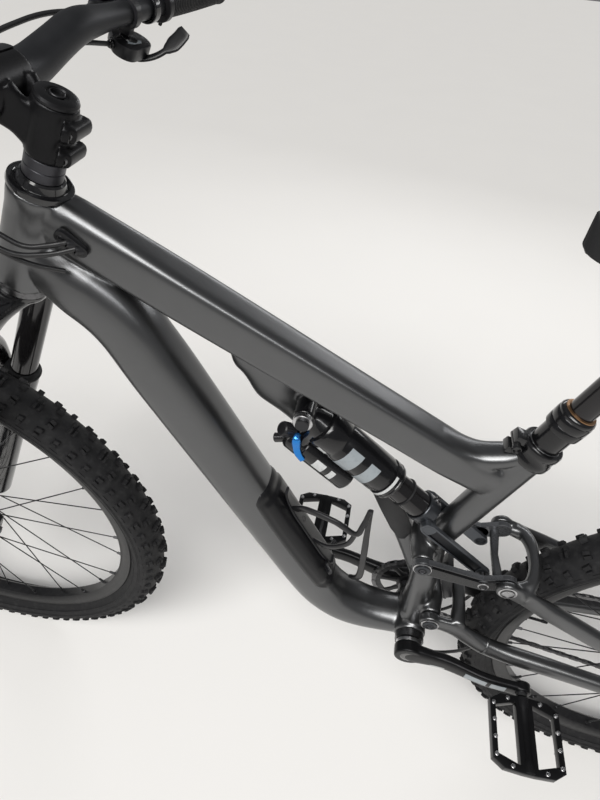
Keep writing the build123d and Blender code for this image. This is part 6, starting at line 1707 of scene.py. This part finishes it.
def derailleur():
    """The rear derailleur: linkage, hanger bolt, cage and pulleys."""
    body = bmesh.new()
    add_turned(body, stand(spot(*HANGER, -85.4), -LEFT), [(0, 7.6), (0.8, 8.8), (10.6, 8.8), (11.4, 7.6)], 36)
    add_turned(body, stand(spot(*CAGE_PIVOT, -59.4), -LEFT),
               [(0, 11.6), (1, 12.8), (12, 12.4), (14.4, 10), (14.8, 5)], 40)
    for shift in (-4.5, 4.5):
        line = curve_through([spot(HANGER[0] + shift * 0.6, HANGER[1] - 4, -90), spot(-458 + shift, -12, -84),
                              spot(CAGE_PIVOT[0] + shift, CAGE_PIVOT[1] + 4, -69)], 8)
        add_tube(body, line, [(0, 3.4, 3.6, 3), (0.5, 3.0, 3.2, 3), (1, 3.6, 4, 3)], 20)
    skin = melt(body, 1.1, 3)
    piece("derailleur_linkage", skin, SATIN_BLACK, "seatstay", ("derailleur_body",), 1.0)
    bolts = bmesh.new()
    add_bolt(bolts, stand(spot(*HANGER, -96.6), -LEFT), 6, 2.6)
    piece("derailleur_hanger_bolt", bolts, STEEL, "seatstay", (), 0.5)
    cage = bmesh.new()
    outline = hull([(*GUIDE, 9.5), (*TENSION, 9.5)], 32)
    for low in (-45.7 - 2, -56.7 - 2):
        left_plate(cage, outline, low, low + 1.9, 0.4)
    piece("derailleur_cage_plates", cage, SATIN_BLACK, "derailleur_cage", ("derailleur_cage",), 0.5)
    wheels = bmesh.new()
    for place in (GUIDE, TENSION):
        at = stand(spot(*place, CHAIN_SIDE - 1), LEFT, AHEAD)
        add_wheel(wheels, at, PULLEY_TEETH, 3.4, 0, 2, 9)
        for index in range(5):
            angle = math.tau * index / 5
            out = radial(angle)
            add_tube(wheels, [spot(*place, CHAIN_SIDE) + out * 5 * MM, spot(*place, CHAIN_SIDE) + out * 11 * MM],
                     [(0, 1, 2.2, 3), (1, 1, 2.6, 3)], 12)
        add_turned(wheels, stand(spot(*place, CHAIN_SIDE - 3.6), LEFT),
                   [(0, 3.4), (0, 6.8), (7.2, 6.8), (7.2, 3.4)], 28, closed=True)
    piece("derailleur_pulleys", wheels, PLASTIC, "derailleur_cage", (), 0.5)
    bolts = bmesh.new()
    for place in (GUIDE, TENSION):
        add_bolt(bolts, stand(spot(*place, -58.2), -LEFT), 4.4, 1.2)
    piece("derailleur_pulley_bolts", bolts, STEEL, "derailleur_cage", (), 0.5)


def chain_path():
    """The chain's pitch line in the side view, as points with even spacing and the wheel each is on."""
    wheels = []
    for place, teeth, turn in (((0.0, 0.0), RING_TEETH, 1), (REAR_PLACE, CHAIN_COG, 1), (GUIDE, PULLEY_TEETH, -1),
                               (TENSION, PULLEY_TEETH, 1)):
        wheels.append((place, pitch_radius(teeth), turn))
    count = len(wheels)
    tangents = []
    for index in range(count):
        (start, first, turn), (end, second, following) = wheels[index], wheels[(index + 1) % count]
        gap_x, gap_y = end[0] - start[0], end[1] - start[1]
        normal = (math.atan2(gap_y, gap_x) - math.pi / 2
                  + math.asin((first * turn - second * following) / math.hypot(gap_x, gap_y)))
        tangents.append(((start[0] + turn * first * math.cos(normal), start[1] + turn * first * math.sin(normal)),
                         (end[0] + following * second * math.cos(normal),
                          end[1] + following * second * math.sin(normal))))
    line = []
    for index in range(count):
        start, end = tangents[index]
        long = math.hypot(end[0] - start[0], end[1] - start[1])
        steps = max(2, int(long / 4))
        line += [(start[0] + (end[0] - start[0]) * i / steps, start[1] + (end[1] - start[1]) * i / steps, index)
                 for i in range(steps)]
        centre, radius, turn = wheels[(index + 1) % count]
        after = tangents[(index + 1) % count][0]
        first = math.atan2(end[1] - centre[1], end[0] - centre[0])
        sweep = ((math.atan2(after[1] - centre[1], after[0] - centre[0]) - first) * turn) % (math.tau)
        steps = max(3, int(radius * sweep / 3))
        line += [(centre[0] + radius * math.cos(first + turn * sweep * i / steps),
                  centre[1] + radius * math.sin(first + turn * sweep * i / steps), count + index)
                 for i in range(steps)]
    return line


def chain():
    """Roller chain round its path, cut into runs: a run given one body rides on it, the others stay where they are
    drawn.
    """
    line = chain_path()
    closed = line + line[:1]
    marks = [0.0]
    for here, after in zip(closed, closed[1:]):
        marks.append(marks[-1] + math.hypot(after[0] - here[0], after[1] - here[1]))
    count = 2 * round(marks[-1] / LINK / 2)
    pins = []
    cursor = 0
    for index in range(count):
        distance = marks[-1] * index / count
        while marks[cursor + 1] <= distance:
            cursor += 1
        share = (distance - marks[cursor]) / (marks[cursor + 1] - marks[cursor])
        here, after = closed[cursor], closed[cursor + 1]
        pins.append((here[0] + (after[0] - here[0]) * share, here[1] + (after[1] - here[1]) * share, here[2]))
    # spans: 0 upper run, 1 cog to guide pulley, 2 between the pulleys, 3 lower run; 4 to 7 the wheels after each
    groups = {name: bmesh.new() for name in ("front", "middle", "back", "guide", "pulleys", "tail", "lower", "return")}
    for index in range(count):
        (x0, y0, where), (x1, y1, _) = pins[index], pins[(index + 1) % count]
        middle_x = (x0 + x1) / 2
        if where == 7 or (where == 0 and middle_x > -330) or (where == 3 and middle_x > -40):
            group = "front"
        elif where == 0 and middle_x > -404:
            group = "middle"
        elif where in (0, 4):
            group = "back"
        elif where == 1:
            group = "guide"
        elif where in (2, 5, 6):
            group = "pulleys"
        else:
            group = "return" if middle_x > -300 else ("lower" if middle_x > -350 else "tail")
        shape = groups[group]
        angle = math.atan2(y1 - y0, x1 - x0)
        outer = index % 2 == 0
        waist = hull([(0, 0, 3.6), (LINK, 0, 3.6)], 10)
        for side in (-1, 1):
            at = (Matrix.Translation(spot(x0, y0, CHAIN_SIDE + side * (2.35 if outer else 1.6)))
                  @ Matrix(((math.cos(angle), -math.sin(angle), 0), (0, 0, -1),
                            (math.sin(angle), math.cos(angle), 0))).to_4x4())
            add_plate(shape, at, waist, -0.4, 0.4, 0)
        add_turned(shape, stand(spot(x0, y0, CHAIN_SIDE - 2.9), LEFT),
                   [(0, 1.6), (0.1, 1.8), (5.7, 1.8), (5.8, 1.6)], 8)
        add_turned(shape, stand(spot(x0, y0, CHAIN_SIDE - 1.1), LEFT), [(0, 3.6), (2.2, 3.6)], 10)
    for name, group, bodies, places, replaces in (
        ("chain_front", "front", ("frame", "chainstay"), ((-50, 40), (-290, 40)), ("chain",)),
        ("chain_upper_run", "middle", ("chainstay", "seatstay"), ((-330, 60), (-400, 70)), ()),
        ("chain_on_cog", "back", ("seatstay",), (), ()),
        ("chain_to_guide", "guide", ("seatstay", "derailleur_cage"), (REAR_PLACE, GUIDE), ()),
        ("chain_on_pulleys", "pulleys", ("derailleur_cage",), (), ()),
        ("chain_lower_tail", "tail", ("seatstay", "derailleur_cage"), ((-350, -110), (-412, -150)), ()),
        ("chain_lower_middle", "lower", ("chainstay", "seatstay"), ((-300, -110), (-350, -115)), ()),
        ("chain_lower_run", "return", ("frame", "chainstay"), ((-50, -80), (-290, -110)), ()),
    ):
        run = piece(name, groups[group], STEEL, None if places else bodies[0], replaces, 0.5)
        if places:
            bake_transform(run)


cranks()
chainring()
pedal("left")
pedal("right")
cassette()
derailleur()
chain()

# ---------------------------------------------------------------- hoses
HOSE_RADIUS = 2.5


def hose(name, points, replaces=()):
    """A hose through given points, left in place where it is drawn."""
    shape = bmesh.new()
    radii = []
    for before, corner, after in zip(points, points[1:], points[2:]):
        turn = (corner - before).angle(after - corner)
        shorter = min((corner - before).length, (after - corner).length) / MM
        radii.append(0.45 * shorter / math.tan(max(turn, 0.02) / 2))
    line = spread(rounded(points, radii, 10), 4)
    add_wire(shape, line, HOSE_RADIUS, 14)
    made = piece(name, shape, HOSE, None, replaces)
    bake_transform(made)


ROUTES = {
    "shifter_housing": [bar_point(-176, -26, -4), steer(52, -134, 76), steer(82, -82, 52), steer(94, -22, 20),
                        steer(78, 34, -6), steer(32, 54, -26), steer(-16, 45, -36), spot(450, 588, 36),
                        spot(438, 589, 27)],
    "rear_brake_hose": [bar_point(-173, -10, 26), steer(86, -130, 84), steer(108, -76, 58), steer(114, -16, 22),
                        steer(94, 42, -8), steer(44, 66, -28), steer(-12, 56, -41), spot(452, 580, 40),
                        spot(433, 583, 27)],
    "dropper_housing": [bar_point(188, -26, -6), steer(58, 140, 64), steer(74, 92, 32), steer(56, 66, -8),
                        steer(16, 54, -45), steer(-22, 44, -52), steer(-50, 30, -50)],
}
for index, (name, points) in enumerate(ROUTES.items()):
    hose(name, points,
         ("cable_housings",) if index == 0 else ())
front_route = [bar_point(173, -10, 26), steer(94, 142, 66), steer(108, 112, 22), steer(96, 101, -38),
               steer(70, 100, -96), steer(48, 101, -160), steer(41, 100.5, -226), steer(38, 99.5, -292),
               steer(34, 99, -358), steer(26, 98.5, -424), steer(6, 98, -490), steer(-24, 88, -545),
               steer(-34, 62, -580)]
hose("front_brake_hose", front_route)
for index, (sign, name) in enumerate(((1, "left"), (-1, "right"))):
    loop = [spot(14, -42, sign * 31), spot(-24, -52, sign * 33), spot(-58, -38, sign * 36), spot(-82, -8, sign * 40),
            spot(-94, 23, sign * 42.5)]
    hose(f"rear_loop_{name}", loop, ("rear_housings",) if index == 0 else ())
hose("rear_brake_loop", [spot(-318, 43, 62), spot(-326, 58, 58), spot(-342, 74, 53), spot(-366.5, 83, 50)])

# ---------------------------------------------------------------- kept CAD nodes
KEPT = {
    "frame_bearings": STEEL, "frame_pivot_bolts": SATIN_BLACK, "saddle_rails": SATIN_BLACK, "front_axle": SATIN_BLACK,
    "front_rotor": ROTOR_STEEL, "rear_rotor": ROTOR_STEEL, "rear_axle": SATIN_BLACK, "pedal_axles": STEEL,
    "dropper_post": STANCHION,
}
for name, material in KEPT.items():
    for material_slot in frame["nodes"][name].material_slots:
        material_slot.material = material

# ---------------------------------------------------------------- stage
floor_shape = bmesh.new()
FLOOR_HALF = 14.0
floor_shape.faces.new([floor_shape.verts.new((x * FLOOR_HALF, y * FLOOR_HALF, 0))
                       for x, y in ((-1, -1), (1, -1), (1, 1), (-1, 1))])
floor_mesh = bpy.data.meshes.new("floor")
floor_shape.to_mesh(floor_mesh)
floor = bpy.data.objects.new("floor", floor_mesh)
bpy.context.scene.collection.objects.link(floor)
floor_mesh.materials.append(surface("floor_paper", (0.80, 0.79, 0.775), 0.0, 0.9, 0.01, 3.0, 0.0))


def area_light(name, place, target, size, power):
    """A rectangular light aimed at a target."""
    data = bpy.data.lights.new(name, "AREA")
    data.shape = "RECTANGLE"
    data.size, data.size_y = size
    data.energy = power
    lamp = bpy.data.objects.new(name, data)
    lamp.location = Vector(place)
    lamp.rotation_euler = (Vector(target) - Vector(place)).to_track_quat("-Z", "Y").to_euler()
    bpy.context.scene.collection.objects.link(lamp)


def sun_light(name, way, strength, spread_degrees, colour):
    """A soft sun; way points towards it."""
    data = bpy.data.lights.new(name, "SUN")
    data.energy = strength
    data.angle = math.radians(spread_degrees)
    data.color = colour
    lamp = bpy.data.objects.new(name, data)
    lamp.rotation_euler = Vector(way).to_track_quat("Z", "Y").to_euler()
    bpy.context.scene.collection.objects.link(lamp)


sun_light("ceiling_sun", (0.12, 0.62, 0.85), 2.75, 42, (1.0, 0.985, 0.955))
area_light("near_strip", (0.1, 1.25, 2.1), (0.0, 0, 0.7), (2.6, 0.22), 15)
area_light("far_strip", (-0.6, -2.2, 1.6), (-0.2, 0, 0.6), (2.4, 0.3), 12)

world = bpy.data.worlds.new("studio")
world.use_nodes = True
sky = world.node_tree.nodes["Background"]
sky.inputs["Color"].default_value = (0.96, 0.97, 1.0, 1.0)
sky.inputs["Strength"].default_value = 0.17
bpy.context.scene.world = world
bpy.context.scene.view_settings.view_transform = "Standard"

# ---------------------------------------------------------------- camera
EYE = Vector((-0.0109, 0.4425, 1.1767))
YAW, PITCH, ROLL = math.radians(7.33), math.radians(43.12), math.radians(5.78)
look = Vector((math.sin(YAW) * math.cos(PITCH), -math.cos(YAW) * math.cos(PITCH), -math.sin(PITCH)))
level = look.cross(UP).normalized()
above = level.cross(look)
camera_x = level * math.cos(ROLL) + above * math.sin(ROLL)
camera_y = above * math.cos(ROLL) - level * math.sin(ROLL)
camera_data = bpy.data.cameras.new("camera")
camera_data.sensor_width = 36.0
camera_data.lens = 24.32
camera_data.clip_start = 0.01
camera = bpy.data.objects.new("camera", camera_data)
camera.matrix_world = (Matrix.Translation(EYE)
                       @ Matrix((camera_x, camera_y, -look)).transposed().to_4x4())
bpy.context.scene.collection.objects.link(camera)
bpy.context.scene.camera = camera
